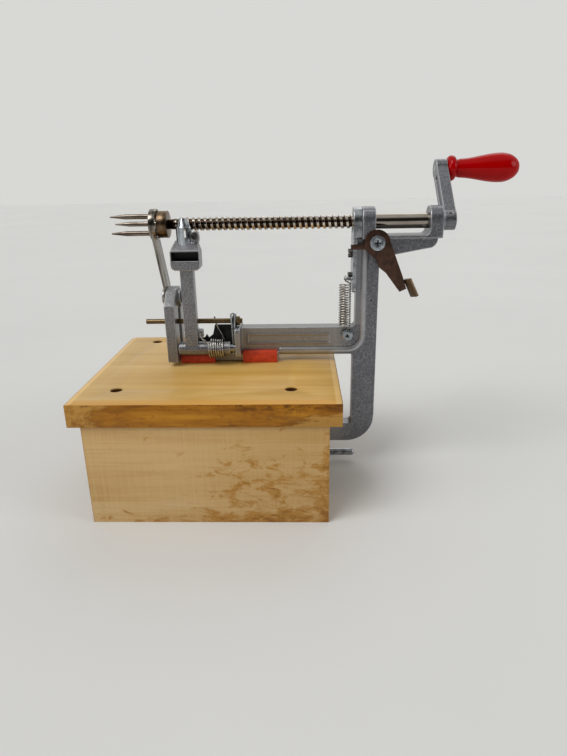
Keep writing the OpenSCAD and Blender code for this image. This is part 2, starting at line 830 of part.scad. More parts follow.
// The right pad folds over the foot's top edge, against the arm.
module right_pad() {
    pad(right_pad_x, foot_top + pad_wall);
}

// Clamp screw

module clamp_pad() {
    color("silver") translate([clamp_x, axis_y, press_pad_z]) difference() {
        cylinder(h = press_pad_h, d = press_pad_d);
        translate([0, 0, -cut]) cylinder(h = press_pad_h - 3 + cut, d = clamp_screw_d + 2 * running_gap);
    }
}

module clamp_screw() {
    color("silver") translate([clamp_x, axis_y, 0]) difference() {
        union() {
            translate([0, 0, knuckle_top - weld])
                cylinder(h = board_under - 3 - sliding_gap - knuckle_top + weld, d = clamp_screw_d);
            translate([0, 0, knuckle_z]) cylinder(h = knuckle_h, d = knuckle_d);
        }
        translate([-knuckle_d, 0, bar_z]) rotate([0, 90, 0])
            cylinder(h = 2 * knuckle_d, d = bar_d + 2 * seat_gap);
    }
}

module tommy_bar() {
    r = bar_d / 2;
    color("lightgray") translate([clamp_x, axis_y, bar_z]) {
        rotate([0, 90, 0]) cylinder(h = bar_l - 2 * r, r = r, center = true);
        for (end = [-1, 1]) translate([end * (bar_l / 2 - r), 0, 0]) sphere(r);
    }
}

// Lead screw, fork and crank

// Right hand thread as one closed skin. Each row of points runs along the screw at one angle, and the
// first and last turns rise out of the root and sink back into it.
module thread() {
    n = 14;
    last_turn = thread_turns;
    break_at = [0, thread_flank, thread_flank + thread_crest, 2 * thread_flank + thread_crest];
    height = [0, 1, 1, 0];
    per_row = 4 * (last_turn + 1) + 2;
    first_x = thread_left - 2;
    last_x = smooth_left + thread_pitch;
    function rise(m, k) = m == 0 ? k / n : m == last_turn ? 1 - k / n : 1;
    function at(x, r, k) = [x, axis_y + r * cos(360 * k / n), axis_z + r * sin(360 * k / n)];
    points = [for (k = [0:n - 1]) each concat(
        [at(first_x, thread_root_r, k)],
        [for (m = [0:last_turn]) for (j = [0:3])
            at(thread_left + thread_pitch * (m + k / n) + break_at[j],
               thread_root_r + thread_depth * height[j] * rise(m, k), k)],
        [at(last_x, thread_root_r, k)])];
    quads = [for (k = [0:n - 2]) for (i = [0:per_row - 2])
        let (a = k * per_row + i, b = a + per_row) each [[a, a + 1, b + 1], [a, b + 1, b]]];
    row = (n - 1) * per_row;
    // The seam joins the last row to the first one, a turn further on.
    seam = [for (i = [1:per_row - 6]) let (a = row + i, b = i + 4) each [[a, a + 1, b + 1], [a, b + 1, b]]];
    seam_first = concat([for (i = [0:4]) [row, i + 1, i]], [[row, row + 1, 5]]);
    tail = per_row - 1;
    seam_last = [for (i = [tail - 4:tail - 1]) [row + i, row + i + 1, tail]];
    caps = [[for (k = [0:n - 1]) k * per_row], [for (k = [n - 1:-1:0]) k * per_row + tail]];
    polyhedron(points, concat(quads, seam, seam_first, seam_last, caps));
}

module main_shaft() {
    color("silver") difference() {
        union() {
            thread();
            bar_x(smooth_left, crank_x, axis_y, axis_z, shaft_d);
            bar_x(crank_x - weld, crank_x + crank_t, axis_y, axis_z, crank_seat_d);
            bar_x(hub_left, thread_left - 1, axis_y, axis_z, neck_d);
        }
        crank_pin_hole();
    }
}

module fork_hub() {
    color("saddlebrown") difference() {
        bar_x(hub_left, hub_right, axis_y, axis_z, hub_d);
        bar_x(hub_left - cut, hub_right + cut, axis_y, axis_z, neck_d + 2 * seat_gap);
        for (turn = [0, 120, 240])
            tine_place(turn) bar_x(hub_left - cut, hub_left + tine_seat, 0, 0, tine_d + 2 * seat_gap);
    }
}

// Three places round the axis, the first one at the back.
module tine_place(turn) {
    translate([0, axis_y + tine_circle_r * cos(turn), axis_z + tine_circle_r * sin(turn)]) children();
}

module fork_tines() {
    tip_x = hub_left - tine_reach;
    color("silver")
        for (turn = [0, 120, 240])
            tine_place(turn) {
                bar_x(tip_x + tine_point_l, hub_left + tine_seat, 0, 0, tine_d);
                translate([tip_x, 0, 0]) rotate([0, 90, 0])
                    cylinder(h = tine_point_l + 0.01, d1 = tine_tip_d, d2 = tine_d);
            }
}

module crank_washer() {
    color("whitesmoke") difference() {
        bar_x(crank_x - washer_t, crank_x, axis_y, axis_z, washer_d);
        bar_x(crank_x - washer_t - cut, crank_x + cut, axis_y, axis_z, shaft_d + 2 * running_gap);
    }
}

// Turns what is drawn upright to the crank's angle.
module crank_pose() {
    translate([crank_x, axis_y, axis_z]) rotate([-crank_lean, 0, 0]) children();
}

module crank_pin_hole() {
    crank_pose() translate([crank_t / 2, -crank_boss_d, 0]) rotate([-90, 0, 0])
        cylinder(h = 2 * crank_boss_d, d = crank_pin_d + 2 * seat_gap);
}

module crank_arm() {
    groove_from = crank_boss_d / 2 + 3;
    groove_to = crank_r - crank_boss_d / 2 - 2;
    color("slategray") difference() {
        crank_pose() difference() {
            union() {
                for (z = [0, crank_r])
                    translate([0, 0, z]) rotate([0, 90, 0]) cylinder(h = crank_t, d = crank_boss_d);
                translate([0, -crank_w / 2, 0]) cube([crank_t, crank_w, crank_r]);
            }
            for (x = [crank_groove_depth / 2 - weld, crank_t - crank_groove_depth / 2 + weld])
                translate([x, 0, (groove_from + groove_to) / 2])
                    cube([crank_groove_depth + 2 * weld, crank_groove_w, groove_to - groove_from],
                         center = true);
            translate([-cut, 0, 0]) rotate([0, 90, 0])
                cylinder(h = crank_t + 2 * cut, d = crank_seat_d + 2 * seat_gap);
            translate([-cut, 0, crank_r]) rotate([0, 90, 0])
                cylinder(h = crank_t + 2 * cut, d = spindle_d + 2 * seat_gap);
        }
        crank_pin_hole();
    }
}

module crank_pin() {
    color("silver") crank_pose() translate([crank_t / 2, -crank_boss_d / 2 + 0.6, 0]) rotate([-90, 0, 0])
        cylinder(h = crank_boss_d - 1.2, d = crank_pin_d);
}

module handle_spindle() {
    color("silver") {
        bar_x(crank_x, spindle_end, handle_y, handle_z, spindle_d);
        bar_x(spindle_end - spindle_head_t, spindle_end, handle_y, handle_z, spindle_head_d);
    }
}

// Turned grip: a bead, a neck and a long swell with a round end.
module crank_handle() {
    swell_r = grip_d / 2;
    swell_at = handle_l - swell_r - 4;
    neck_r = grip_neck_d / 2;
    run = swell_at - grip_neck_at;
    drop = swell_r - neck_r;
    arc_r = (run * run + drop * drop) / (2 * drop);
    end_r = swell_r - 0.3;
    end_at = handle_l - end_r;
    color("red") translate([handle_x, handle_y, handle_z]) rotate([0, 90, 0]) difference() {
        union() {
            rotate_extrude() {
                translate([bead_d / 2 - bead_r, bead_r]) circle(bead_r);
                square([bead_d / 2 - bead_r, 2 * bead_r]);
                square([neck_r, grip_neck_at + weld]);
                intersection() {
                    translate([swell_r - arc_r, swell_at]) circle(arc_r, $fn = 360);
                    translate([0, grip_neck_at]) square([2 * swell_r, end_at - grip_neck_at]);
                }
            }
            translate([0, 0, end_at]) sphere(end_r);
        }
        translate([0, 0, -cut]) cylinder(h = handle_l + 2 * cut, d = spindle_d + 2 * running_gap);
        translate([0, 0, spindle_end - handle_x - spindle_head_t - sliding_gap])
            cylinder(h = handle_l, d = spindle_head_d + 2 * sliding_gap);
    }
}

// Release lever and thread follower

// Middle of the thread groove that lies nearest to the follower's head, on top of the screw.
function groove_x() =
    let (groove = (2 * thread_flank + thread_crest + thread_pitch) / 2,
         first = thread_left + thread_pitch / 4 + groove,
         middle = (stem_x + follower_head_right) / 2)
        first + thread_pitch * round((middle - first) / thread_pitch);

module thread_follower() {
    bore_r = thread_d / 2 + sliding_gap;
    lead = atan(thread_pitch / (PI * thread_d));
    tooth_w = 0.9;
    head_r = bearing_r - 0.4;
    color("lightgray") difference() {
        union() {
            between_x(stem_x, follower_head_right) {
                translate([axis_y, axis_z]) circle(head_r);
                panel(axis_y - head_r, axis_z - bore_r - follower_lift - 3, axis_y + head_r, axis_z);
            }
            between_x(stem_x, stem_right)
                round_panel(axis_y - stem_w / 2, stem_z, axis_y + stem_w / 2,
                            axis_z - bore_r - follower_lift, stem_t);
            // Ledge in front, which the lever's lug lifts
            translate([stem_x, lever_front - 0.5, lug_top + sliding_gap])
                cube([stem_t, axis_y - lever_front, 3.4]);
            bar_x(spring_x - pull_wire_d, stem_x + weld, spring_y, spring_pin_z, spring_pin_d);
        }
        between_x(stem_x - cut, follower_head_right + cut) difference() {
            union() {
                translate([axis_y, axis_z]) circle(bore_r);
                translate([axis_y, axis_z - follower_lift - 0.4]) circle(bore_r);
                panel(axis_y - bore_r, axis_z - follower_lift - 0.4, axis_y + bore_r, axis_z);
            }
        }
        for (z = guide_z)
            between_x(stem_x - cut, stem_right + cut) {
                translate([axis_y, z]) circle(guide_screw_d / 2 + sliding_gap);
                translate([axis_y, z - follower_lift]) circle(guide_screw_d / 2 + sliding_gap);
                panel(axis_y - guide_screw_d / 2 - sliding_gap, z - follower_lift,
                      axis_y + guide_screw_d / 2 + sliding_gap, z);
            }
    }
    // Tooth that rides in the thread, turned to the thread's slope
    color("lightgray") translate([groove_x(), axis_y, axis_z + thread_d / 2 - tooth_reach])
        rotate([0, 0, lead]) translate([-tooth_w / 2, -1.5, 0])
            cube([tooth_w, 3, tooth_reach + sliding_gap + 1.5]);
}

module follower_screws() {
    head_x = stem_x - sliding_gap - guide_head_t;
    color("dimgray")
        for (z = guide_z)
            difference() {
                union() {
                    bar_x(head_x, head_x + guide_head_t, axis_y, z, guide_head_d);
                    bar_x(head_x + weld, upper_post_x + guide_depth - 0.5, axis_y, z, guide_screw_d);
                }
                translate([head_x, axis_y, z]) cube([2.4, guide_head_d + cut, 1.1], center = true);
            }
}

// Outline of the lever from its pivot: a round head, a lug to the left and an arm down to the right.
module lever_outline() {
    lug = lug_top - lever_z;
    r = lever_head_r;
    circle(r);
    polygon([[-lug_reach, lug - lug_w], [-lug_reach, lug], [-0.94 * r, lug], [-0.37 * r, 0.19 * r],
             [-0.37 * r, -0.74 * r], [-0.81 * r, lug - lug_w]]);
    u = lever_arm_out;
    v = -lever_arm_l;
    polygon([[lever_head_r * 0.78, lever_head_r * 0.65], [0.88 * u, 0.71 * v], [u, 0.94 * v], [0.78 * u, v],
             [0.31 * u, 0.61 * v], [0.09 * u, 0.5 * v], [-0.05 * u, 0.32 * v], [-0.19 * u, 0.25 * v],
             [-lever_head_r * 0.77, -lever_head_r * 0.6]]);
}

module release_lever() {
    tab_lean = 25;
    tab_fold = 28;
    color("sienna") difference() {
        union() {
            translate([lever_x, 0, lever_z]) between_y(lever_front, lever_back) lever_outline();
            // Thumb tab, folded towards the cook
            translate([lever_x + 0.9 * lever_arm_out, lever_back - thumb_w, lever_z - 0.76 * lever_arm_l])
                rotate([0, -90 - tab_lean, 0]) translate([-thumb_l, thumb_w, 0]) rotate([tab_fold, 0, 0])
                    translate([0, -thumb_w, -lever_t]) cube([thumb_l, thumb_w, lever_t]);
        }
        bar_y(lever_x, lever_front - cut, lever_back + cut, lever_z, lever_pin_d + 2 * running_gap);
    }
}

module lever_screw() {
    under_head = lever_front - sliding_gap;
    head_y = under_head - 0.4 * lever_pin_d;
    color("silver") difference() {
        union() {
            bar_y(lever_x, head_y, under_head, lever_z, lever_screw_head_d);
            bar_y(lever_x, under_head - weld, face_y + lever_pin_depth, lever_z, lever_pin_d);
        }
        cross_recess(lever_x, head_y, lever_z, 0.42 * lever_screw_head_d);
    }
}

// Pull spring: a loop round the screw on the arm, the turns, and a loop round the follower's pin.
function pull_points() =
    let (r = spring_r, loop_r = spring_screw_d / 2 + pull_wire_d / 2 + 0.3,
         top_r = spring_pin_d / 2 + pull_wire_d / 2 + 0.3, rise = 3,
         low = [for (a = [380:-40:140])
                   [spring_screw_x + loop_r * cos(a), spring_y, spring_screw_z + loop_r * sin(a)]],
         turns = [for (i = [0:8 * pull_turns])
                     let (z = spring_foot + pull_pitch * i / 8)
                         [spring_x + r * cos(45 * i), spring_y + r * sin(45 * i), z]],
         high = [for (a = [-60:40:180])
                    [spring_x, spring_y + top_r * cos(a), spring_pin_z + top_r * sin(a)]])
        concat(low, turns, high);

module follower_spring() {
    points = pull_points();
    echo(follower_spring_least_gap = least_gap(points, pull_wire_d, 6));
    color("gainsboro") wire(points, pull_wire_d, [0, 1, 0]);
}

module spring_screw() {
    head_t = 0.65 * spring_screw_d;
    head_y = spring_washer_y - head_t;
    color("silver") difference() {
        union() {
            bar_y(spring_screw_x, head_y, spring_washer_y, spring_screw_z, 2 * spring_screw_d);
            bar_y(spring_screw_x, spring_washer_y - weld, face_y + spring_screw_depth, spring_screw_z,
                  spring_screw_d);
        }
        cross_recess(spring_screw_x, head_y, spring_screw_z, 0.95 * spring_screw_d);
    }
}

module spring_washer() {
    back = spring_washer_y + spring_washer_t;
    color("silver") difference() {
        bar_y(spring_screw_x, spring_washer_y, back, spring_screw_z, 2.5 * spring_screw_d);
        bar_y(spring_screw_x, spring_washer_y - cut, back + cut, spring_screw_z,
              spring_screw_d + 2 * seat_gap);
    }
}

// Peeling arm

module peel_arm() {
    lug_x = arm_x + peel_arm_w / 2;
    color("slategray") difference() {
        union() {
            bar_x(arm_hub_x, arm_hub_x + arm_hub_l, pivot_y, pivot_z, arm_hub_d);
            translate([arm_x - peel_arm_w / 2, arm_front, pivot_z])
                cube([peel_arm_w, peel_arm_t, head_from + weld]);
            difference() {
                between_y(head_front, head_back) {
                    round_panel(arm_x - head_w / 2, head_z, arm_x + head_w / 2, head_top - 9, 4);
                    panel(arm_x - head_w / 2, head_z + head_h / 2 - 3, arm_x + head_w / 2, head_top - 8);
                    polygon([[arm_x - head_w / 2, head_top - 8.5], [arm_x + head_w / 2, head_top - 8.5],
                             [arm_x + head_w / 2 - 2.5, head_top], [arm_x - head_w / 2 + 3.5, head_top]]);
                }
                // The roof slopes back to the blade
                between_x(arm_x - head_w, arm_x + head_w)
                    polygon([[head_front - cut, eaves_z], [head_front, eaves_z], [roof_back, head_top],
                             [roof_back, head_top + cut], [head_front - cut, head_top + cut]]);
            }
            // Lug that the spring presses
            translate([lug_x - weld, pivot_y - spring_lug_d / 2, pivot_z + spring_lug_rise])
                cube([5, spring_lug_d, spring_lug_h]);
            // Ear that holds the blade's screw
            between_y(head_back - blade_lug_t, head_back)
                round_panel(blade_screw_x - 3.5, head_top - 3, blade_screw_x + 3.5, blade_screw_z + 3.6, 3);
        }
        // Slot across the front
        translate([arm_x - head_w / 2 + slot_wall, head_front - cut, slot_z])
            cube([head_w - 2 * slot_wall, slot_depth + cut, slot_h]);
        bar_x(arm_hub_x - cut, arm_hub_x + arm_hub_l + cut, pivot_y, pivot_z, pivot_d + 2 * running_gap);
        blade_seat(seat_gap);
        bar_y(blade_screw_x, head_back - 2 * blade_lug_t, head_back + cut, blade_screw_z,
              blade_screw_d + 2 * seat_gap);
    }
}

// Half round shell, open at the back, that the blade and its seat in the head share.
module blade_seat(grow) {
    body_h = blade_sunk + blade_h;
    translate([blade_x, blade_y, head_top - blade_sunk]) difference() {
        cylinder(h = body_h, r = blade_r + grow);
        translate([0, 0, -cut]) cylinder(h = blade_sunk + cut, r = blade_r - blade_t - grow);
        translate([-2 * blade_r, grow, -cut]) cube([4 * blade_r, 2 * blade_r, body_h + 2 * cut]);
    }
}

module peel_blade() {
    tip_h = 8;
    tip_r = 0.45 * blade_r;
    body_h = blade_sunk + blade_h;
    color("silver") translate([blade_x, blade_y, head_top - blade_sunk]) difference() {
        union() {
            cylinder(h = body_h, r = blade_r);
            translate([0, 0, body_h - 0.01]) cylinder(h = tip_h, r1 = blade_r, r2 = tip_r);
        }
        translate([0, 0, -cut]) cylinder(h = body_h + cut, r = blade_r - blade_t);
        translate([0, 0, body_h - 0.01])
            cylinder(h = tip_h + 0.02, r1 = blade_r - blade_t, r2 = tip_r - blade_t / 2);
        translate([-2 * blade_r, 0, -cut]) cube([4 * blade_r, 2 * blade_r, body_h + tip_h + 2 * cut]);
        // Slit that lifts the peel
        translate([1.2, -2 * blade_r, blade_sunk + 2.5]) cube([1.4, 2 * blade_r, blade_h - 3]);
    }
}

module blade_screw() {
    head_t = 2.2;
    head_y = head_back - blade_lug_t;
    color("dimgray") difference() {
        union() {
            bar_y(blade_screw_x, head_y - head_t, head_y, blade_screw_z, blade_head_d);
            bar_y(blade_screw_x, head_y - weld, head_back, blade_screw_z, blade_screw_d);
        }
        cross_recess(blade_screw_x, head_y - head_t, blade_screw_z, blade_head_d / 2);
    }
}

module pivot_rod() {
    color("silver") difference() {
        bar_x(arch_x, ear_x + ear_t, pivot_y, pivot_z, pivot_d);
        translate([cotter_x, pivot_y, pivot_z - pivot_d]) cylinder(h = 2 * pivot_d, d = 3.7);
    }
}

// Arm spring: a leg in front of the arm's lug, the turns, and a leg behind the stop rod.
function arm_points() =
    let (r = (arm_spring_d - arm_wire_d) / 2, x0 = arm_hub_x + arm_hub_l - 5.4 - arm_spring_pitch * arm_turns,
         steps = round(8 * arm_turns), lug_x = arm_x + peel_arm_w / 2 + 2.4,
         back = rod_y + rod_d / 2 + arm_wire_d / 2 + 0.5,
         lug_y = pivot_y - spring_lug_d / 2 - arm_wire_d / 2, lug_z = pivot_z + spring_lug_rise,
         leg_in = [[lug_x, lug_y - 0.3, lug_z + 5], [lug_x, lug_y - 0.6, lug_z],
                   [(lug_x + x0) / 2, pivot_y - r + 1.6, pivot_z + 8.4]],
         turns = [for (i = [-1:steps])
                     [x0 + arm_spring_pitch * i / 8, pivot_y - r * cos(45 * i), pivot_z - r * sin(45 * i)]],
         end = turns[steps + 1],
         leg_out = [end + [-1.2, 0.5, 6], end + [-3.6, 1, 12], [end[0] - 7.5, back, rod_z - 5],
                    [end[0] - 9, back, rod_z + 3]])
        concat(leg_in, turns, leg_out);

module torsion_spring() {
    points = arm_points();
    echo(torsion_spring_least_gap = least_gap(points, arm_wire_d, 6));
    color("gainsboro") wire(points, arm_wire_d, [1, 0, 0]);
}

module cotter_pin() {
    wire_d = 1.5;
    leg_l = cotter_eye_z - cotter_eye_r - cotter_leg_z;
    color("whitesmoke") {
        translate([cotter_x, pivot_y, cotter_leg_z]) difference() {
            cylinder(h = leg_l, d = 3.2);
            translate([-0.2, -2, -cut]) cube([0.4, 4, leg_l - cut]);
        }
        translate([cotter_x, pivot_y, cotter_eye_z]) rotate([90, 0, 0])
            rotate_extrude() translate([cotter_eye_r, 0]) circle(d = wire_d);
    }
}

module stop_rod() {
    color("saddlebrown") bar_x(arch_x - rod_past, ear_x + 5.8, rod_y, rod_z, rod_d);
}

module rod_nut() {
    x = bracket_flange_x + bracket_t;
    color("saddlebrown") difference() {
        translate([x, rod_y, rod_z]) rotate([0, 90, 0])
            cylinder(h = rod_nut_t, d = rod_nut_af / cos(30), $fn = 6);
        bar_x(x - cut, x + rod_nut_t + cut, rod_y, rod_z, rod_d + 2 * seat_gap);
    }
}

// Black plate bracket behind the hub: a low back wall and a flange that holds the stop rod.
module rod_bracket() {
    wall_y = pivot_y + bracket_back;
    wall_left = arm_hub_x + 4;
    step_x = bracket_flange_x - bracket_high_l;
    front = rod_y - rod_d * 0.75;
    low = foot_top + bracket_low_h;
    peak = low + bracket_low_h / 4;
    color("black") difference() {
        union() {
            between_y(wall_y, wall_y + bracket_t)
                polygon([[wall_left, foot_top], [bracket_flange_x + bracket_t, foot_top],
                         [bracket_flange_x + bracket_t, rod_z - 5], [step_x, rod_z - 5], [step_x - 2, peak],
                         [step_x - 6, low], [step_x - 8, peak], [step_x - 10, low],
                         [wall_left + 9, low], [wall_left + 7, peak], [wall_left, low - bracket_low_h / 4]]);
            between_x(bracket_flange_x, bracket_flange_x + bracket_t)
                polygon([[pivot_y + 4.6, foot_top], [wall_y + bracket_t, foot_top],
                         [wall_y + bracket_t, rod_z + 4.5], [front, rod_z + 4.5], [front, rod_z - 4],
                         [pivot_y + 4.6, rod_z - 9]]);
        }
        bar_x(bracket_flange_x - cut, bracket_flange_x + bracket_t + cut, rod_y, rod_z, rod_d + 2 * seat_gap);
    }
}

// Corer and slicer: a sharpened ring on a strip that is bolted to the arch.
module corer_blade() {
    tab_x = arch_x - strip_t;
    tab_z = arch_top - strip_tab_l;
    strip_top = axis_z - ring_d / 2 + 1;
    top_x = ring_left + (ring_w - strip_t) / 2;
    bend_z = arch_top + 2;
    color("gainsboro") difference() {
        union() {
            bar_x(ring_left, ring_right, axis_y, axis_z, ring_d);
            between_y(axis_y - strip_w / 2, axis_y + strip_w / 2)
                polygon([[tab_x, tab_z], [tab_x + strip_t, tab_z], [tab_x + strip_t, bend_z],
                         [top_x + strip_t, strip_top], [top_x + strip_t, axis_z - 6], [top_x, axis_z - 6],
                         [top_x, strip_top], [tab_x, bend_z]]);
        }
        bar_x(ring_left - cut, ring_right + cut, axis_y, axis_z, ring_d - 2 * ring_wall);
        bar_x(tab_x - cut, tab_x + strip_t + cut, axis_y, corer_bolt_z, corer_bolt_d + 2 * seat_gap);
    }
}

module corer_bolt() {
    x = arch_x - strip_t;
    color("slategray") {
        bar_x(x - corer_head_t, x, axis_y, corer_bolt_z, corer_head_d);
        bar_x(x - weld, corer_nut_x + corer_nut_t + 1, axis_y, corer_bolt_z, corer_bolt_d);
    }
}

module corer_nut() {
    color("dimgray") difference() {
        translate([corer_nut_x, axis_y, corer_bolt_z]) rotate([0, 90, 0])
            cylinder(h = corer_nut_t, d = corer_nut_af / cos(30), $fn = 6);
        bar_x(corer_nut_x - cut, corer_nut_x + corer_nut_t + cut, axis_y, corer_bolt_z,
              corer_bolt_d + 2 * seat_gap);
    }
}

stand_top();
stand_front_rail();
stand_back_rail();
stand_screws();
frame();
left_pad();
right_pad();
clamp_pad();
clamp_screw();
tommy_bar();
main_shaft();
fork_hub();
fork_tines();
crank_washer();
crank_arm();
crank_pin();
handle_spindle();
crank_handle();
thread_follower();
follower_screws();
release_lever();
lever_screw();
follower_spring();
spring_screw();
spring_washer();
peel_arm();
peel_blade();
blade_screw();
pivot_rod();
torsion_spring();
cotter_pin();
stop_rod();
rod_nut();
rod_bracket();
corer_blade();
corer_bolt();
corer_nut();
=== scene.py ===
from math import asin, cos, pi, radians, sin

import bmesh
import bpy
from mathutils import Matrix, Vector


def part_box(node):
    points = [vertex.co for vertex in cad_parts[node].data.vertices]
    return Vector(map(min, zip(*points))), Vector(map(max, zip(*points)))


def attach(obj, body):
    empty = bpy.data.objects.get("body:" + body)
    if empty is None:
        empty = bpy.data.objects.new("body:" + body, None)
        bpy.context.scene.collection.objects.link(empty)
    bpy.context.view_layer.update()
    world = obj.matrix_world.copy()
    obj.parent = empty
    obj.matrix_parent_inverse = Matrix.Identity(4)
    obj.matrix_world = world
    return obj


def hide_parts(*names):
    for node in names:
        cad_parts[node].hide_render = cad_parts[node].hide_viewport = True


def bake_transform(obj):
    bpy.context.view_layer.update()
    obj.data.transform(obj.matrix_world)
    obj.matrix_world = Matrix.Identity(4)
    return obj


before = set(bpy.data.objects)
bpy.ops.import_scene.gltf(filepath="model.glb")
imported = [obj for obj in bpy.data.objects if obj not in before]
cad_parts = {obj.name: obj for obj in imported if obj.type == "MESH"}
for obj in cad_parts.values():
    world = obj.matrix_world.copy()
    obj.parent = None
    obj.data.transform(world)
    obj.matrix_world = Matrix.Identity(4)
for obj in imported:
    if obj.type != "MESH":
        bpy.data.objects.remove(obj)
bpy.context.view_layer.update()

# Top board of the stand
# A planed softwood board with four counterbored holes, varnished golden and rubbed bare at the ends
# of its lip. It lies on the two rails and is screwed down into them from above.


def tone(red, green, blue):
    """A colour as a paint shop writes it, 0 to 255, turned into the renderer's own light values."""
    parts = [value / 255 for value in (red, green, blue)]
    return [p / 12.92 if p < 0.04045 else ((p + 0.055) / 1.055) ** 2.4 for p in parts] + [1.0]


def start_finish(name, metallic, roughness):
    """A new finish, its node tree and its shader."""
    finish = bpy.data.materials.new(name)
    finish.use_nodes = True
    shader = finish.node_tree.nodes["Principled BSDF"]
    shader.inputs["Metallic"].default_value = metallic
    shader.inputs["Roughness"].default_value = roughness
    return finish, finish.node_tree, shader


def mottle(tree, size, stretch=(1, 1, 1), detail=4.0, roughness=0.55, distortion=0.0, shift=(0, 0, 0)):
    """Cloudy pattern with spots of that size in metres, drawn out where stretch is below 1."""
    place = tree.nodes.new("ShaderNodeTexCoord")
    lay = tree.nodes.new("ShaderNodeMapping")
    lay.inputs["Scale"].default_value = stretch
    lay.inputs["Location"].default_value = shift
    noise = tree.nodes.new("ShaderNodeTexNoise")
    noise.inputs["Scale"].default_value = 1 / size
    noise.inputs["Detail"].default_value = detail
    noise.inputs["Roughness"].default_value = roughness
    noise.inputs["Distortion"].default_value = distortion
    tree.links.new(place.outputs["Object"], lay.inputs["Vector"])
    tree.links.new(lay.outputs["Vector"], noise.inputs["Vector"])
    return noise.outputs["Fac"]


def shades(tree, pattern, *stops):
    """Turns a pattern into colours; each stop is a place from 0 to 1 and a colour."""
    ramp = tree.nodes.new("ShaderNodeValToRGB")
    points = ramp.color_ramp.elements
    while len(points) < len(stops):
        points.new(0.5)
    for point, (place, colour) in zip(points, stops):
        point.position = place
        point.color = colour
    tree.links.new(pattern, ramp.inputs["Fac"])
    return ramp.outputs["Color"]


def lay_over(tree, cover, under, over):
    """Lays one colour over another where cover is white."""
    mix = tree.nodes.new("ShaderNodeMix")
    mix.data_type = "RGBA"
    tree.links.new(cover, mix.inputs["Factor"])
    for value, socket in ((under, mix.inputs["A"]), (over, mix.inputs["B"])):
        if isinstance(value, bpy.types.NodeSocket):
            tree.links.new(value, socket)
        else:
            socket.default_value = value
    return mix.outputs["Result"]


def combine(tree, how, first, second):
    """Two patterns, or a pattern and a number, joined by the operation named."""
    result = tree.nodes.new("ShaderNodeMath")
    result.operation = how
    for value, socket in zip((first, second), result.inputs):
        if isinstance(value, bpy.types.NodeSocket):
            tree.links.new(value, socket)
        else:
            socket.default_value = value
    return result.outputs["Value"]


def place_on(tree):
    """Places along X, Y and Z on the piece, in metres."""
    where = tree.nodes.new("ShaderNodeTexCoord")
    split = tree.nodes.new("ShaderNodeSeparateXYZ")
    tree.links.new(where.outputs["Object"], split.inputs["Vector"])
    return split.outputs["X"], split.outputs["Y"], split.outputs["Z"]


def between(tree, pattern, low, high, start=0.0, end=1.0):
    """Makes a pattern run from start to end, and no further, while it goes from low to high."""
    span = tree.nodes.new("ShaderNodeMapRange")
    span.inputs["From Min"].default_value = low
    span.inputs["From Max"].default_value = high
    span.inputs["To Min"].default_value = start
    span.inputs["To Max"].default_value = end
    tree.links.new(pattern, span.inputs["Value"])
    return span.outputs["Result"]


def strip(tree, place, rise, full_from, full_to, fall):
    """A strip across the piece: it comes up from rise to full_from and goes out from full_to to fall."""
    up, down = between(tree, place, rise, full_from), between(tree, place, fall, full_to)
    return combine(tree, "MULTIPLY", up, down)


def relief(tree, shader, pattern, depth, strength=1.0):
    """Raises the surface by the pattern, depth in metres."""
    bump = tree.nodes.new("ShaderNodeBump")
    bump.inputs["Distance"].default_value = depth
    bump.inputs["Strength"].default_value = strength
    tree.links.new(pattern, bump.inputs["Height"])
    tree.links.new(bump.outputs["Normal"], shader.inputs["Normal"])


def softwood(tree, shader, pale, mid, deep, shift):
    """Grain along the board with fine darker fibres; gives the colour of the bare wood."""
    bands = mottle(tree, 0.017, stretch=(0.06, 1, 1), detail=3.0, roughness=0.5, distortion=0.5, shift=shift)
    fibres = mottle(tree, 0.0018, stretch=(0.025, 1, 1), detail=3.0, roughness=0.6, shift=shift)
    grain = shades(tree, bands, (0.3, pale), (0.5, mid), (0.74, deep))
    tree.links.new(between(tree, fibres, 0.3, 0.7, 0.36, 0.52), shader.inputs["Roughness"])
    relief(tree, shader, fibres, 0.0001, 0.45)
    return lay_over(tree, between(tree, fibres, 0.48, 0.74, 0.0, 0.5), grain, deep)


def stand_in(node, mesh, body, name):
    """Puts a mesh in a solid's place, riding on its body."""
    piece = bpy.data.objects.new(name, mesh)
    bpy.context.scene.collection.objects.link(piece)
    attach(piece, body)
    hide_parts(node)
    return piece


flat_face = 0.00004
same_point = 2e-6
same_plane = radians(0.8)


def eased_copy(node, finish, ease, body, name, segments=2, steep=35, smooth=40, shape=None):
    """A copy of a solid with its outer edges eased, which stands in for the solid and rides on its body."""
    skin = bmesh.new()
    skin.from_mesh(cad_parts[node].data)
    bmesh.ops.remove_doubles(skin, verts=skin.verts, dist=same_point)
    if shape:
        shape(skin)
    skin.normal_update()
    bmesh.ops.dissolve_limit(skin, angle_limit=same_plane, verts=skin.verts, edges=skin.edges)
    if ease:
        skin.normal_update()
        sharp = [
            e for e in skin.edges
            if len(e.link_faces) == 2 and e.is_convex and e.calc_face_angle() > radians(steep)
        ]
        bmesh.ops.bevel(
            skin, geom=sharp, offset=ease, offset_type="OFFSET", segments=segments, profile=0.5,
            affect="EDGES", clamp_overlap=True, loop_slide=True,
        )
    mesh = bpy.data.meshes.new(name)
    skin.to_mesh(mesh)
    skin.free()
    mesh.materials.append(finish)
    mesh.polygons.foreach_set("use_smooth", [face.area < flat_face for face in mesh.polygons])
    mesh.set_sharp_from_angle(angle=radians(smooth))
    return stand_in(node, mesh, body, name)


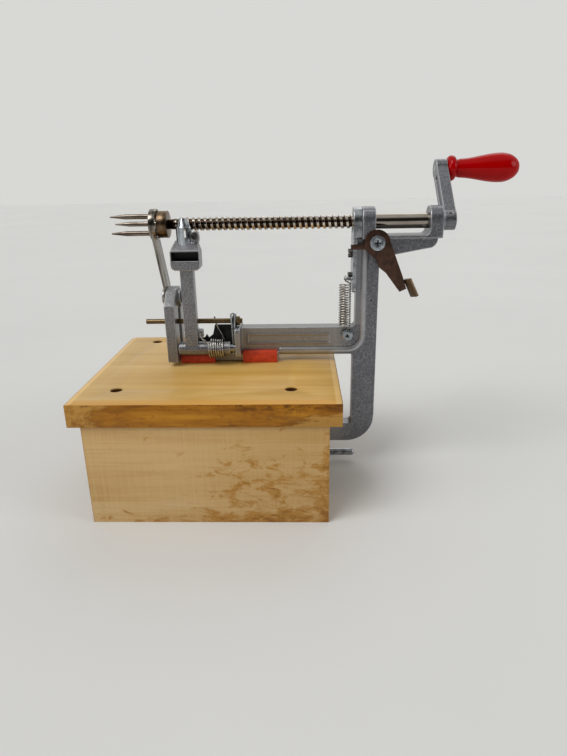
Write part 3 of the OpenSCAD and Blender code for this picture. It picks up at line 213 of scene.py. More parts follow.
board_low, board_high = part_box("stand_top")
lip_deep = 0.0004
rim_front, rim_side, rim_drop = 0.0085, 0.005, 0.0008
front_blur, side_blur = 0.0006, 0.0005
left_worn, right_worn, top_worn = (-0.045, -0.095), (0.035, 0.1), (-0.03, 0.05)
right_worn_high, top_worn_high = (0.0985, 0.0925), (0.092, 0.102)
hole_unshaded_above, hole_shade_from, hole_shade_to, hole_unshaded_below = 0.0006, 0.0012, 0.0065, 0.0073
hole_near, hole_far = 0.004, 0.006

golden_board, tree, shader = start_finish("golden_board", 0.0, 0.42)
shader.inputs["Specular IOR Level"].default_value = 0.22
shader.inputs["Coat Weight"].default_value = 0.1
shader.inputs["Coat Roughness"].default_value = 0.18
x, y, z = place_on(tree)
side = combine(tree, "ABSOLUTE", x, 0.0)
wood = softwood(tree, shader, tone(217, 180, 109), tone(210, 168, 90), tone(192, 144, 62), (0.3, 0.1, 0.2))
clouds = mottle(tree, 0.05, stretch=(0.5, 1, 1), detail=3.0, roughness=0.55, distortion=0.3)
wood = lay_over(tree, between(tree, clouds, 0.5, 0.72, 0.0, 0.4), wood, tone(190, 138, 56))
wood = lay_over(tree, between(tree, x, 0.0, -0.09, 0.0, 0.4), wood, tone(204, 183, 142))
rim_y, rim_x = board_low.y + rim_front, board_high.x - rim_side
front_rim = between(tree, y, rim_y + front_blur, rim_y - front_blur)
side_rim = between(tree, side, rim_x - side_blur, rim_x + side_blur)
wood = lay_over(tree, combine(tree, "MULTIPLY", front_rim, 0.6), wood, tone(212, 154, 70))
wood = lay_over(tree, combine(tree, "MULTIPLY", side_rim, 0.55), wood, tone(240, 202, 138))
front_lip = between(tree, y, board_low.y + 2 * lip_deep, board_low.y + lip_deep)
side_lip = between(tree, side, board_high.x - 2 * lip_deep, board_high.x - lip_deep)
lip = combine(tree, "MAXIMUM", front_lip, side_lip)
streaks = mottle(tree, 0.007, stretch=(0.12, 1, 1), detail=5.0, roughness=0.6, distortion=0.4)
varnish = shades(tree, streaks, (0.3, tone(184, 126, 28)), (0.5, tone(160, 102, 14)), (0.7, tone(110, 62, 6)))
flakes = mottle(
    tree, 0.026, stretch=(0.6, 1, 1.1), detail=7.0, roughness=0.68, distortion=0.5, shift=(0.07, 0.0, 0.31),
)
left_end = between(tree, x, *left_worn, 0.0, 0.2)
right_end = between(tree, x, *right_worn, 0.0, 0.3)
right_end = combine(tree, "MULTIPLY", right_end, between(tree, z, *right_worn_high))
worn_ends = combine(tree, "MULTIPLY", combine(tree, "ADD", left_end, right_end), front_lip)
bare = combine(tree, "ADD", flakes, worn_ends)
varnish = lay_over(tree, between(tree, bare, 0.6, 0.67, 0.0, 0.5), varnish, tone(118, 70, 12))
varnish = lay_over(tree, between(tree, bare, 0.66, 0.74, 0.0, 0.8), varnish, tone(186, 140, 66))
specks = mottle(tree, 0.0035, stretch=(0.4, 1, 1), detail=6.0, roughness=0.72)
worn_top = combine(tree, "MULTIPLY", between(tree, x, *top_worn), between(tree, z, *top_worn_high))
specks = combine(tree, "ADD", specks, combine(tree, "MULTIPLY", worn_top, 0.12))
varnish = lay_over(tree, between(tree, specks, 0.55, 0.7, 0.0, 0.8), varnish, tone(84, 46, 8))
wood = lay_over(tree, lip, wood, varnish)
# The walls of the counterbores are painted dark brown, as the shade inside the holes.
hole_shade = strip(
    tree, z, board_high.z - hole_unshaded_below, board_high.z - hole_shade_to,
    board_high.z - hole_shade_from, board_high.z - hole_unshaded_above,
)
off_lip = strip(
    tree, y, board_low.y + hole_near, board_low.y + hole_far,
    board_high.y - hole_far, board_high.y - hole_near,
)
off_ends = between(tree, side, board_high.x - hole_near, board_high.x - hole_far)
hole_shade = combine(tree, "MULTIPLY", hole_shade, combine(tree, "MULTIPLY", off_lip, off_ends))
tree.links.new(lay_over(tree, hole_shade, wood, tone(78, 46, 16)), shader.inputs["Base Color"])


def rubbed_rim(skin):
    """Slopes the top face down a little along the front edge and the two ends, where hands have worn it."""
    on_cut, near = 1e-7, 1e-5
    for spot, way in (
        ((0, board_low.y + rim_front, 0), (0, 1, 0)),
        ((board_low.x + rim_side, 0, 0), (1, 0, 0)),
        ((board_high.x - rim_side, 0, 0), (1, 0, 0)),
    ):
        everything = skin.verts[:] + skin.edges[:] + skin.faces[:]
        bmesh.ops.bisect_plane(skin, geom=everything, dist=on_cut, plane_co=spot, plane_no=way)
    for v in skin.verts:
        on_front = v.co.y < board_low.y + near
        on_end = abs(v.co.x) > board_high.x - near
        if v.co.z > board_high.z - near and (on_front or on_end):
            v.co.z -= rim_drop


eased_copy("stand_top", golden_board, 0.0006, "base", "top_board", shape=rubbed_rim)

# Rails under the board
# Two wide softwood boards on edge, paler than the top, with brown stain blotches in the face.
# They stand on the table, and the screws pull the top board down on them.

rail_ease = 0.0008
rail_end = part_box("stand_front_rail")[1].x
brown_side, stain_side, stain_high = (-0.03, 0.05), (-0.03, 0.03), (0.072, 0.05)
foot_high, end_stain = (0.013, 0.004), (0.088, 0.0955)

stained_rail, tree, shader = start_finish("stained_rail", 0.0, 0.45)
shader.inputs["Specular IOR Level"].default_value = 0.3
x, y, z = place_on(tree)
wood = softwood(tree, shader, tone(204, 173, 123), tone(196, 161, 107), tone(178, 138, 79), (0.9, 0.4, 0.66))
saw_marks = mottle(tree, 0.0012, stretch=(1, 1, 0.02), detail=2.0, roughness=0.5)
wood = lay_over(tree, between(tree, saw_marks, 0.42, 0.7, 0.0, 0.25), wood, tone(212, 182, 134))
flakes = mottle(
    tree, 0.0095, stretch=(0.6, 1, 1.1), detail=8.0, roughness=0.7, distortion=0.6, shift=(0.21, 0.0, 0.05),
)
wood = lay_over(tree, between(tree, x, *brown_side, 0.0, 0.25), wood, tone(182, 136, 66))
low_right = combine(tree, "MULTIPLY", between(tree, x, *stain_side, 0.0, 0.13), between(tree, z, *stain_high))
foot_line = between(tree, z, *foot_high, 0.0, 0.11)
right_end = between(tree, x, *end_stain, 0.0, 0.12)
stain = flakes
for thicker in (low_right, foot_line, right_end):
    stain = combine(tree, "ADD", stain, thicker)
wood = lay_over(tree, between(tree, stain, 0.61, 0.69, 0.0, 0.85), wood, tone(172, 122, 48))
wood = lay_over(tree, between(tree, stain, 0.71, 0.8, 0.0, 0.75), wood, tone(136, 86, 24))
side = combine(tree, "ABSOLUTE", x, 0.0)
on_end = between(tree, side, rail_end - rail_ease, rail_end - rail_ease / 2, 0.0, 0.9)
year_rings = mottle(tree, 0.0032, stretch=(0.05, 0.3, 1), detail=4.0, roughness=0.6, distortion=0.8)
end_grain = shades(tree, year_rings, (0.36, tone(188, 150, 92)), (0.66, tone(152, 110, 56)))
tree.links.new(lay_over(tree, on_end, wood, end_grain), shader.inputs["Base Color"])
eased_copy("stand_front_rail", stained_rail, rail_ease, "base", "front_rail")
eased_copy("stand_back_rail", stained_rail, rail_ease, "base", "back_rail")

# Wood screws of the stand
# Four dark steel screws with cross heads, one at the bottom of each counterbore.
# They run through the board into the rails.


def metal_finish(name, bright, dull, roughness, spot=0.004, streak=(1, 1, 1), wear=0.00002, metallic=1.0):
    """Metal whose colour and gloss drift between bright and dull over spots of that size."""
    finish, tree, shader = start_finish(name, metallic, roughness)
    drift = mottle(tree, spot, stretch=streak, detail=5.0, roughness=0.6)
    fine = mottle(tree, spot / 6, stretch=streak, detail=3.0, roughness=0.6, shift=(0.2, 0.5, 0.1))
    tree.links.new(shades(tree, drift, (0.32, dull), (0.62, bright)), shader.inputs["Base Color"])
    gloss = between(tree, fine, 0.3, 0.7, roughness * 0.75, roughness * 1.3)
    tree.links.new(gloss, shader.inputs["Roughness"])
    relief(tree, shader, fine, wear, 0.6)
    return finish


dark_steel = metal_finish("dark_steel", tone(104, 102, 98), tone(54, 51, 48), 0.38)
eased_copy("stand_screws", dark_steel, 0.0003, "base", "wood_screws")

# Frame casting
# One grey iron casting under a fine silver grey enamel: the clamp, the arm with its rib and bare panel,
# the post, the two bearings and the arch. It grips the board's edge between its foot and the clamp screw.

arm_top, arm_left, arm_pale_from = 0.135, 0.0, 0.014
arch_left, arch_right = -0.025, 0.02
rib_crest = 0.0817
rib_left, rib_right = 0.03, 0.139
post_left, post_rib = 0.12, 0.1285


def cast_finish(name, base, light, dark):
    """Silver grey enamel with a fine grain, dark in patches, with painted highlights on its edges, the rib's
    crest and the post's left flank.
    """
    finish, tree, shader = start_finish(name, 0.7, 0.37)
    grain = mottle(tree, 0.0011, detail=3.0, roughness=0.7)
    drift = mottle(tree, 0.014, detail=4.0, roughness=0.6)
    x, y, z = place_on(tree)
    enamel = shades(tree, grain, (0.32, dark), (0.5, base), (0.66, light))
    enamel = lay_over(tree, between(tree, drift, 0.45, 0.75, 0.0, 0.4), enamel, dark)
    pale_enamel = shades(tree, grain, (0.34, tone(124, 123, 122)), (0.64, tone(188, 187, 186)))
    enamel = lay_over(tree, between(tree, x, arch_right, arch_left, 0.0, 0.3), enamel, pale_enamel)
    arm_face = strip(tree, x, arm_left, arm_pale_from, post_left - 0.015, post_left)
    below_top = between(tree, z, arm_top + 0.0015, arm_top - 0.001, 0.0, 0.5)
    arm_face = combine(tree, "MULTIPLY", arm_face, below_top)
    enamel = lay_over(tree, arm_face, enamel, tone(172, 169, 164))
    # Edges where the mesh is pointed are painted near white, as a painted highlight.
    form = tree.nodes.new("ShaderNodeNewGeometry")
    edge_highlight = between(tree, form.outputs["Pointiness"], 0.506, 0.55, 0.0, 0.9)
    # The rib's crest on the arm's front is painted light, as a painted highlight; rub varies its strength
    # with the grain.
    crest_highlight = strip(tree, y, rib_crest - 0.0006, rib_crest - 0.0004, rib_crest - 0.0002, rib_crest + 0.0008)
    on_front = strip(tree, x, rib_left - 0.005, rib_left, rib_right, rib_right + 0.003)
    crest_highlight = combine(tree, "MULTIPLY", crest_highlight, on_front)
    rub = between(tree, combine(tree, "ADD", grain, drift), 0.8, 1.2, 0.85, 0.4)
    crest_highlight = combine(tree, "MULTIPLY", crest_highlight, rub)
    enamel = lay_over(tree, combine(tree, "MAXIMUM", edge_highlight, crest_highlight), enamel, tone(196, 196, 199))
    # The post's left flank above the arm is painted lighter, as a painted highlight of the light from the
    # upper left.
    flank_highlight = strip(tree, x, post_left, post_left + 0.0015, post_rib - 0.002, post_rib)
    above_top = between(tree, z, arm_top + 0.001, arm_top + 0.004, 0.0, 0.4)
    flank_highlight = combine(tree, "MULTIPLY", flank_highlight, above_top)
    enamel = lay_over(tree, flank_highlight, enamel, tone(168, 168, 172))
    tree.links.new(enamel, shader.inputs["Base Color"])
    tree.links.new(between(tree, grain, 0.3, 0.7, 0.3, 0.42), shader.inputs["Roughness"])
    shader.inputs["Coat Weight"].default_value = 0.15
    shader.inputs["Coat Roughness"].default_value = 0.25
    relief(tree, shader, grain, 0.00008, 0.5)
    return finish


def soft_copy(node, finish, body, name, cell, rounds, keep):
    """A copy of a solid whose edges and corners run soft, as sand casting leaves them."""
    rough = bpy.data.objects.new(name + "_rough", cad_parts[node].data.copy())
    bpy.context.scene.collection.objects.link(rough)
    even = rough.modifiers.new("even_skin", "REMESH")
    even.mode = "VOXEL"
    even.voxel_size = cell
    rub = rough.modifiers.new("rub_edges", "SMOOTH")
    rub.factor = 0.5
    rub.iterations = rounds
    thin = rough.modifiers.new("fewer_faces", "DECIMATE")
    thin.ratio = keep
    mesh = bpy.data.meshes.new_from_object(rough.evaluated_get(bpy.context.evaluated_depsgraph_get()))
    bpy.data.objects.remove(rough)
    mesh.name = name
    mesh.materials.clear()
    mesh.materials.append(finish)
    mesh.polygons.foreach_set("use_smooth", [True] * len(mesh.polygons))
    return stand_in(node, mesh, body, name)


silver_grey = cast_finish("silver_grey", tone(111, 112, 117), tone(143, 144, 150), tone(80, 81, 85))
soft_copy("frame", silver_grey, "base", "frame_casting", cell=0.0005, rounds=6, keep=0.3)

# Rubber pads
# Two red-orange rubber sleeves, slipped over the foot's front edge so that it doesn't mark the wood.
# The casting's weight and the clamp hold them down.

pad_rubber, tree, shader = start_finish("pad_rubber", 0.0, 0.5)
skin_spots = mottle(tree, 0.006, detail=5.0, roughness=0.6)
dust = mottle(tree, 0.0012, detail=3.0, roughness=0.6)
rubber_red = shades(tree, skin_spots, (0.3, tone(178, 48, 22)), (0.7, tone(216, 70, 32)))
rubber_red = lay_over(tree, between(tree, dust, 0.6, 0.8, 0.0, 0.3), rubber_red, tone(214, 110, 84))
tree.links.new(rubber_red, shader.inputs["Base Color"])
tree.links.new(between(tree, dust, 0.3, 0.7, 0.4, 0.6), shader.inputs["Roughness"])
relief(tree, shader, dust, 0.00006, 0.5)
eased_copy("left_pad", pad_rubber, 0.0006, "base", "left_rubber_pad")
eased_copy("right_pad", pad_rubber, 0.0006, "base", "right_rubber_pad")

# Clamp screw
# A zinc plated screw through the jaw, with a bar through its knuckle and a round pressure pad on top.
# Turning the bar lifts the pad against the underside of the board.

zinc_plate = metal_finish("zinc_plate", tone(176, 180, 184), tone(122, 124, 127), 0.3)
eased_copy("clamp_screw", zinc_plate, 0.0006, "screw", "clamp_screw_turned")
eased_copy("tommy_bar", zinc_plate, 0.0, "screw", "screw_bar")
eased_copy("clamp_pad", zinc_plate, 0.0008, "pressure_pad", "pressure_pad_disc")

# Lead screw
# A nickel plated steel rod with a coarse right hand thread, turned smooth where it runs in the bearings.
# It is pinned in the crank's boss at the right and carries the fork at the left.

shaft_low, shaft_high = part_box("main_shaft")
axis_y = (shaft_low.y + shaft_high.y) / 2
axis_z = (shaft_low.z + shaft_high.z) / 2
smooth_r = (shaft_high.z - shaft_low.z) / 2
thread_r, thread_depth, thread_pitch, thread_turns = 0.0057, 0.0013, 0.005, 32
crest_margin, dark_root = 0.0003, 0.0002
hub_left, hub_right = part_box("fork_hub")[0].x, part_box("fork_hub")[1].x
neck_length, neck_taper = 0.0035, 0.0008
thread_left = hub_right + neck_length
neck_r, pinned_r = 0.004, 0.005
chamfer, step_width = 0.0006, 0.0001
crank_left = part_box("crank_arm")[0].x
smooth_gap, smooth_blur = 0.0005, 0.0005
smooth_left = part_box("thread_follower")[1].x + smooth_gap


def add_piece(name, points, faces, finish, body, slot, *nodes, smooth=40):
    """A new piece from points and faces, which rides on a body and stands for the nodes named."""
    mesh = bpy.data.meshes.new(name)
    mesh.from_pydata(points, [], faces)
    mesh.materials.append(finish)
    mesh.polygons.foreach_set("use_smooth", [True] * len(mesh.polygons))
    mesh.set_sharp_from_angle(angle=radians(smooth))
    piece = bpy.data.objects.new(name, mesh)
    bpy.context.scene.collection.objects.link(piece)
    if body:
        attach(piece, body)
    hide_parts(*nodes)
    return piece


def round_skin(rings, sides):
    """Faces over rings of points, one ring after the other, with a lid at each end."""
    faces = []
    for i in range(rings - 1):
        for k in range(sides):
            a, b = i * sides + k, i * sides + (k + 1) % sides
            faces.append((a, b, b + sides, a + sides))
    faces.append(tuple(range(sides))[::-1])
    faces.append(tuple((rings - 1) * sides + k for k in range(sides)))
    return faces


def turned(profile, y, z, sides=64):
    """Points and faces of a turned piece along X; each profile point is a place along X and a radius."""
    points = []
    for x, r in profile:
        for k in range(sides):
            a = 2 * pi * k / sides
            points.append((x, y + r * cos(a), z + r * sin(a)))
    return points, round_skin(len(profile), sides)


def thread_skin():
    """The thread as one skin that winds along the screw, turn joined to turn; its ends fade into the core."""
    per_turn, root_r = 40, thread_r - thread_depth
    steps = per_turn * thread_turns
    section = (
        (0.0, 0.0), (0.06, 0.12), (0.12, 0.82), (0.17, 1.0),
        (0.52, 1.0), (0.57, 0.82), (0.63, 0.12), (0.69, 0.0),
    )
    points, faces = [], []
    for i in range(steps + 1):
        turn = i / per_turn
        fade = min(1.0, turn, thread_turns - turn)
        for across, height in section:
            r = root_r + thread_depth * height * fade
            x = thread_left + thread_pitch * (turn + across)
            points.append((x, axis_y + r * cos(2 * pi * turn), axis_z + r * sin(2 * pi * turn)))
    width = len(section)
    next_turn = 1 + (per_turn - 1) * width
    for i in range(steps):
        for j in range(width):
            here, ahead = i * width + j, (i + 1) * width + j
            if j < width - 1:
                faces.append((here, here + 1, ahead + 1, ahead))
            elif i + per_turn < steps:
                faces.append((here, here + next_turn, ahead + next_turn, ahead))
    return points, faces


def second_coat(finish):
    """A finish's node tree, its shader and the colour it has so far, to lay more over it."""
    shader = finish.node_tree.nodes["Principled BSDF"]
    return finish.node_tree, shader, shader.inputs["Base Color"].links[0].from_socket


nickel_plate = metal_finish(
    "nickel_plate", tone(216, 208, 198), tone(150, 138, 124), 0.14,
    spot=0.01, streak=(0.2, 1, 1), wear=0.00001,
)
tree, shader, plate = second_coat(nickel_plate)
x, y, z = place_on(tree)
off_y = combine(tree, "SUBTRACT", y, axis_y)
off_z = combine(tree, "SUBTRACT", z, axis_z)
off_y = combine(tree, "MULTIPLY", off_y, off_y)
off_z = combine(tree, "MULTIPLY", off_z, off_z)
off_axis = combine(tree, "SQRT", combine(tree, "ADD", off_y, off_z), 0.0)
# The thread is coloured darker in its grooves than on its crests.
in_groove = between(tree, off_axis, thread_r - crest_margin, thread_r - thread_depth + dark_root)
on_smooth = between(tree, x, smooth_left, smooth_left + smooth_blur, 0.0, 0.5)
plate = lay_over(tree, on_smooth, plate, tone(84, 74, 62))
tree.links.new(lay_over(tree, in_groove, plate, tone(52, 39, 28)), shader.inputs["Base Color"])
core = [
    (hub_left, neck_r - chamfer), (hub_left + chamfer, neck_r),
    (thread_left - neck_taper, neck_r), (thread_left, thread_r - thread_depth),
    (smooth_left, thread_r - thread_depth), (smooth_left + step_width, smooth_r - chamfer),
    (smooth_left + chamfer, smooth_r), (crank_left, smooth_r), (crank_left, pinned_r),
    (shaft_high.x - chamfer, pinned_r), (shaft_high.x, pinned_r - chamfer),
]
points, faces = turned(core, axis_y, axis_z)
thread_points, thread_faces = thread_skin()
faces += [tuple(len(points) + k for k in face) for face in thread_faces]
add_piece("lead_screw", points + thread_points, faces, nickel_plate, "shaft", "nickel_steel", "main_shaft")

# Fork
# A round steel hub with three pointed tines, browned by use, which holds the apple.
# The hub is pressed on the lead screw's neck and the tines are pressed into the hub.

browned_steel = metal_finish(
    "browned_steel", tone(126, 106, 84), tone(62, 46, 34), 0.3, spot=0.004, streak=(1, 0.15, 0.15),
)
eased_copy("fork_hub", browned_steel, 0.0008, "shaft", "fork_hub_turned", segments=3)
tine_steel = metal_finish(
    "tine_steel", tone(142, 132, 122), tone(78, 66, 56), 0.24, spot=0.008, streak=(0.3, 1, 1),
)
eased_copy("fork_tines", tine_steel, 0.0, "shaft", "fork_points")

# Crank
# A cast arm in the same silver grey, grooved on both faces, with a cross pin through its boss.
# A loose washer keeps its boss off the bearing.

soft_copy("crank_arm", silver_grey, "shaft", "crank_casting", cell=0.0004, rounds=8, keep=0.4)
eased_copy("crank_pin", dark_steel, 0.0003, "shaft", "crank_cross_pin")
eased_copy("crank_washer", zinc_plate, 0.0002, "shaft_carrier", "thrust_washer")
eased_copy("handle_spindle", zinc_plate, 0.0004, "shaft", "handle_spindle_turned")

# Handle
# A turned grip in glossy red: a bead by the crank, a slim neck and a long swell with a round end.
# It turns freely on the spindle, whose head sits in a counterbore at the end.

handle_low, handle_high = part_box("crank_handle")
handle_y = (handle_low.y + handle_high.y) / 2
handle_z = (handle_low.z + handle_high.z) / 2
grip_left = handle_low.x
bead_r, bead_round = 0.011, 0.004
grip_neck_r, grip_neck_at = 0.008, 0.010
grip_r = (handle_high.z - handle_low.z) / 2
grip_end, swell_back = 0.064, 0.004
swell_at = grip_end - grip_r - swell_back
bore_r, sink_r, sink_from = 0.0034, 0.0053, 0.0587
end_slope = (1 - (sink_r / grip_r) ** 2) ** 0.5
round_steps, swell_steps = 12, 24
profile = [(0.0, bore_r)]
for k in range(round_steps + 1):
    a = pi * k / round_steps
    profile.append((bead_round - bead_round * cos(a), bead_r - bead_round + bead_round * sin(a)))
for k in range(1, swell_steps + 1):
    along = k / swell_steps
    wave = (1 - cos(pi * along)) / 2
    grip_at = grip_neck_at + (swell_at - grip_neck_at) * along
    profile.append((grip_at, grip_neck_r + (grip_r - grip_neck_r) * wave))
end_length = handle_high.x - grip_left - swell_at
for k in range(1, round_steps + 1):
    a = asin(k / round_steps * end_slope)
    profile.append((swell_at + end_length * sin(a) / end_slope, grip_r * cos(a)))
profile += [(sink_from, sink_r), (sink_from, bore_r)]
grip_sides = 64
points, faces = turned([(grip_left + x, r) for x, r in profile], handle_y, handle_z, grip_sides)
faces = faces[:-2]
last_row = (len(profile) - 1) * grip_sides
for k in range(grip_sides):
    beside = (k + 1) % grip_sides
    faces.append((last_row + k, last_row + beside, beside, k))

red_gloss, tree, shader = start_finish("red_gloss", 0.0, 0.2)
shader.inputs["Specular IOR Level"].default_value = 0.02
drift = mottle(tree, 0.02, stretch=(0.4, 1, 1), detail=3.0, roughness=0.5)
scuffs = mottle(tree, 0.0014, stretch=(0.3, 1, 1), detail=4.0, roughness=0.65)
red = shades(tree, drift, (0.3, tone(152, 0, 1)), (0.7, tone(174, 0, 3)))
tree.links.new(red, shader.inputs["Base Color"])
tree.links.new(between(tree, scuffs, 0.4, 0.75, 0.16, 0.34), shader.inputs["Roughness"])
shader.inputs["Coat Weight"].default_value = 0.26
shader.inputs["Coat Roughness"].default_value = 0.03
relief(tree, shader, drift, 0.0001, 0.3)
add_piece("red_handle", points, faces, red_gloss, "handle", "red_gloss", "crank_handle", smooth=50)

# Thread follower
# A zinc plated steel slide with a round head, whose tooth rides in the thread.
# Two dark guide screws hold it on the post, in slots that let it rise.

soft_copy("thread_follower", zinc_plate, "follower", "follower_slide", cell=0.0004, rounds=4, keep=0.4)
eased_copy("follower_screws", dark_steel, 0.0005, "base", "follower_guide_screws")

# Release lever
# A stamped steel lever, bronzed dark brown, with a thumb tab folded forward.
# It turns on a bright cross head screw, and its lug lifts the follower out of the thread.

tab_reach, tab_blur = 0.0055, 0.001
lever_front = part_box("release_lever")[0].y + tab_reach
bronzed_brown = metal_finish(
    "bronzed_brown", tone(82, 56, 43), tone(50, 33, 25), 0.34, spot=0.005, wear=0.00003, metallic=0.6,
)
tree, shader, plate = second_coat(bronzed_brown)
x, y, z = place_on(tree)
on_tab = between(tree, y, lever_front, lever_front - tab_blur, 0.0, 0.8)
tree.links.new(lay_over(tree, on_tab, plate, tone(122, 102, 78)), shader.inputs["Base Color"])
eased_copy("release_lever", bronzed_brown, 0.0004, "lever", "lever_plate", steep=50)
screw_zinc = metal_finish("screw_zinc", tone(178, 186, 194), tone(130, 136, 142), 0.28, spot=0.003)
# A near-black finish painted into the screws' cross recesses and the arm's slot, as the shade inside them.
shade_black, tree, shader = start_finish("shade_black", 0.0, 0.6)
shade_grain = mottle(tree, 0.002, detail=4.0, roughness=0.6)
black = shades(tree, shade_grain, (0.35, tone(12, 12, 13)), (0.7, tone(30, 29, 28)))
tree.links.new(black, shader.inputs["Base Color"])
relief(tree, shader, shade_grain, 0.00008, 0.5)
cross_from, cross_to = 0.0003, 0.0015


def shade_cross(piece, node, reach):
    """Paints the cross cut into a screw head that faces the cook near black, as the shade inside it."""
    low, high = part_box(node)
    middle = (low + high) / 2
    piece.data.materials.append(shade_black)
    for face in piece.data.polygons:
        off = Vector((face.center.x - middle.x, face.center.z - middle.z))
        if off.length < reach and low.y + cross_from < face.center.y < low.y + cross_to:
            face.material_index = 1


lever_pivot = eased_copy("lever_screw", screw_zinc, 0.0004, "base", "lever_pivot_screw", segments=3, steep=60)
shade_cross(lever_pivot, "lever_screw", reach=0.0029)

# Follower spring
# A close wound pull spring of bright wire, hooked at the foot round a screw on the arm
# and looped at the top round the follower's pin, so that it pulls the tooth into the thread.

bright_wire = metal_finish("bright_wire", tone(196, 194, 190), tone(124, 119, 112), 0.2, spot=0.003)


def wire_skin(route, wire_d, first_side, sides=12):
    """Round wire along a list of points, as one closed skin."""
    route = [Vector(p) for p in route]
    side, points = Vector(first_side), []
    for i, p in enumerate(route):
        ahead = (route[min(i + 1, len(route) - 1)] - route[max(i - 1, 0)]).normalized()
        side = (side - ahead * side.dot(ahead)).normalized()
        up = ahead.cross(side)
        for k in range(sides):
            a = 2 * pi * k / sides
            points.append(p + wire_d / 2 * (side * cos(a) + up * sin(a)))
    return points, round_skin(len(route), sides)


def soften(route, rounds=2):
    """Cuts the corners of a route so that it bends as wire does."""
    for _ in range(rounds):
        cut = [route[0]]
        for a, b in zip(route, route[1:]):
            a, b = Vector(a), Vector(b)
            cut += [a * 0.75 + b * 0.25, a * 0.25 + b * 0.75]
        route = cut + [route[-1]]
    return route


spring_low, spring_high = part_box("follower_spring")
screw_low, screw_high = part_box("spring_screw")
pull_wire, pull_turns = 0.0013, 17
pull_r = (spring_high.y - spring_low.y - pull_wire) / 2
pull_y = (spring_high.y + spring_low.y) / 2
pull_x = spring_low.x + pull_r + pull_wire / 2
hook_x, hook_z = (screw_low.x + screw_high.x) / 2, (screw_low.z + screw_high.z) / 2
hook_r, hook_rise = 0.00295, 0.001
coil_foot = arm_top + pull_wire / 2 + hook_rise
pin_z, pin_r, loop_r, loop_rise = 0.1785, 0.0012, 0.00215, 0.0026
coil_head = pin_z - pin_r - pull_wire / 2 - loop_rise
per_turn = 24
coil_steps = per_turn * pull_turns
route = []
for degrees in range(380, 139, -20):
    a = radians(degrees)
    route.append((hook_x + hook_r * cos(a), pull_y, hook_z + hook_r * sin(a)))
for i in range(coil_steps + 1):
    a = 2 * pi * i / per_turn
    rise = (coil_head - coil_foot) * i / coil_steps
    route.append((pull_x + pull_r * cos(a), pull_y + pull_r * sin(a), coil_foot + rise))
for degrees in range(-60, 181, 20):
    a = radians(degrees)
    route.append((pull_x, pull_y + loop_r * cos(a), pin_z + loop_r * sin(a)))
points, faces = wire_skin(route, pull_wire, (0, 1, 0))
pull_spring = add_piece("pull_spring", points, faces, bright_wire, None, "spring_steel", "follower_spring")
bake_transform(pull_spring)
hook_screw = eased_copy("spring_screw", screw_zinc, 0.0004, "base", "spring_hook_screw", segments=3, steep=60)
shade_cross(hook_screw, "spring_screw", reach=0.0022)
eased_copy("spring_washer", zinc_plate, 0.0002, "base", "spring_hook_washer")

# Peeling arm
# A small casting in silver grey that swings on the pivot rod, with a roofed head and a slot painted near
# black as the shade inside it.
# The head holds a half round blade of polished steel, fixed by a screw at its right.

peeling_arm = soft_copy(
    "peel_arm", silver_grey, "peeling_arm", "peeling_arm_casting", cell=0.0004, rounds=6, keep=0.4,
)
arm_low, arm_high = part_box("peel_arm")
slot_left, slot_right = arm_low.x + 0.0009, arm_low.x + 0.0241
slot_low, slot_high = 0.1972, 0.2050
slot_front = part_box("peel_blade")[0].y - 0.0062
slot_back = slot_front + 0.012
# The slot's faces are painted near black, as the shade inside it.
peeling_arm.data.materials.append(shade_black)
for face in peeling_arm.data.polygons:
    x, y, z = face.center
    if slot_left < x < slot_right and slot_low < z < slot_high and slot_front < y < slot_back:
        face.material_index = 1
polished_blade = metal_finish(
    "polished_blade", tone(200, 206, 212), tone(64, 66, 70), 0.16,
    spot=0.0026, streak=(1, 1, 0.12), wear=0.00001,
)
eased_copy("peel_blade", polished_blade, 0.0, "peeling_arm", "half_round_blade")
eased_copy("blade_screw", dark_steel, 0.0004, "peeling_arm", "blade_lug_screw", steep=60)

# Pivot rod and cotter pin
# A plain zinc plated rod through the arch, the arm's hub and the ear.
# The cotter pin through its right end keeps the arm from wandering.

eased_copy("pivot_rod", zinc_plate, 0.0004, "base", "pivot_rod_turned", steep=60)
pin_low, pin_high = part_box("cotter_pin")
pin_x, pin_y = (pin_low.x + pin_high.x) / 2, (pin_low.y + pin_high.y) / 2
pin_wire, pin_leg, pin_bow = 0.0015, 0.00083, 0.0018
bow_z = pin_high.z - pin_bow - pin_wire / 2
pin_neck, short_leg = 0.013, 0.002
neck_z = bow_z - pin_neck
route = [(pin_x - pin_leg, pin_y, pin_low.z), (pin_x - pin_leg, pin_y, neck_z)]
for degrees in range(180, -1, -15):
    a = radians(degrees)
    route.append((pin_x + pin_bow * cos(a), pin_y, bow_z + pin_bow * sin(a)))
route += [(pin_x + pin_leg, pin_y, neck_z), (pin_x + pin_leg, pin_y, pin_low.z + short_leg)]
points, faces = wire_skin(soften(route), pin_wire, (0, 1, 0))
add_piece("cotter_pin_wire", points, faces, screw_zinc, "base", "zinc_steel", "cotter_pin")

# Arm spring
# A torsion spring of bright wire round the hub. One leg leans on the arm's lug and the other one
# hooks behind the stop rod, so that the blade is pressed to the apple.

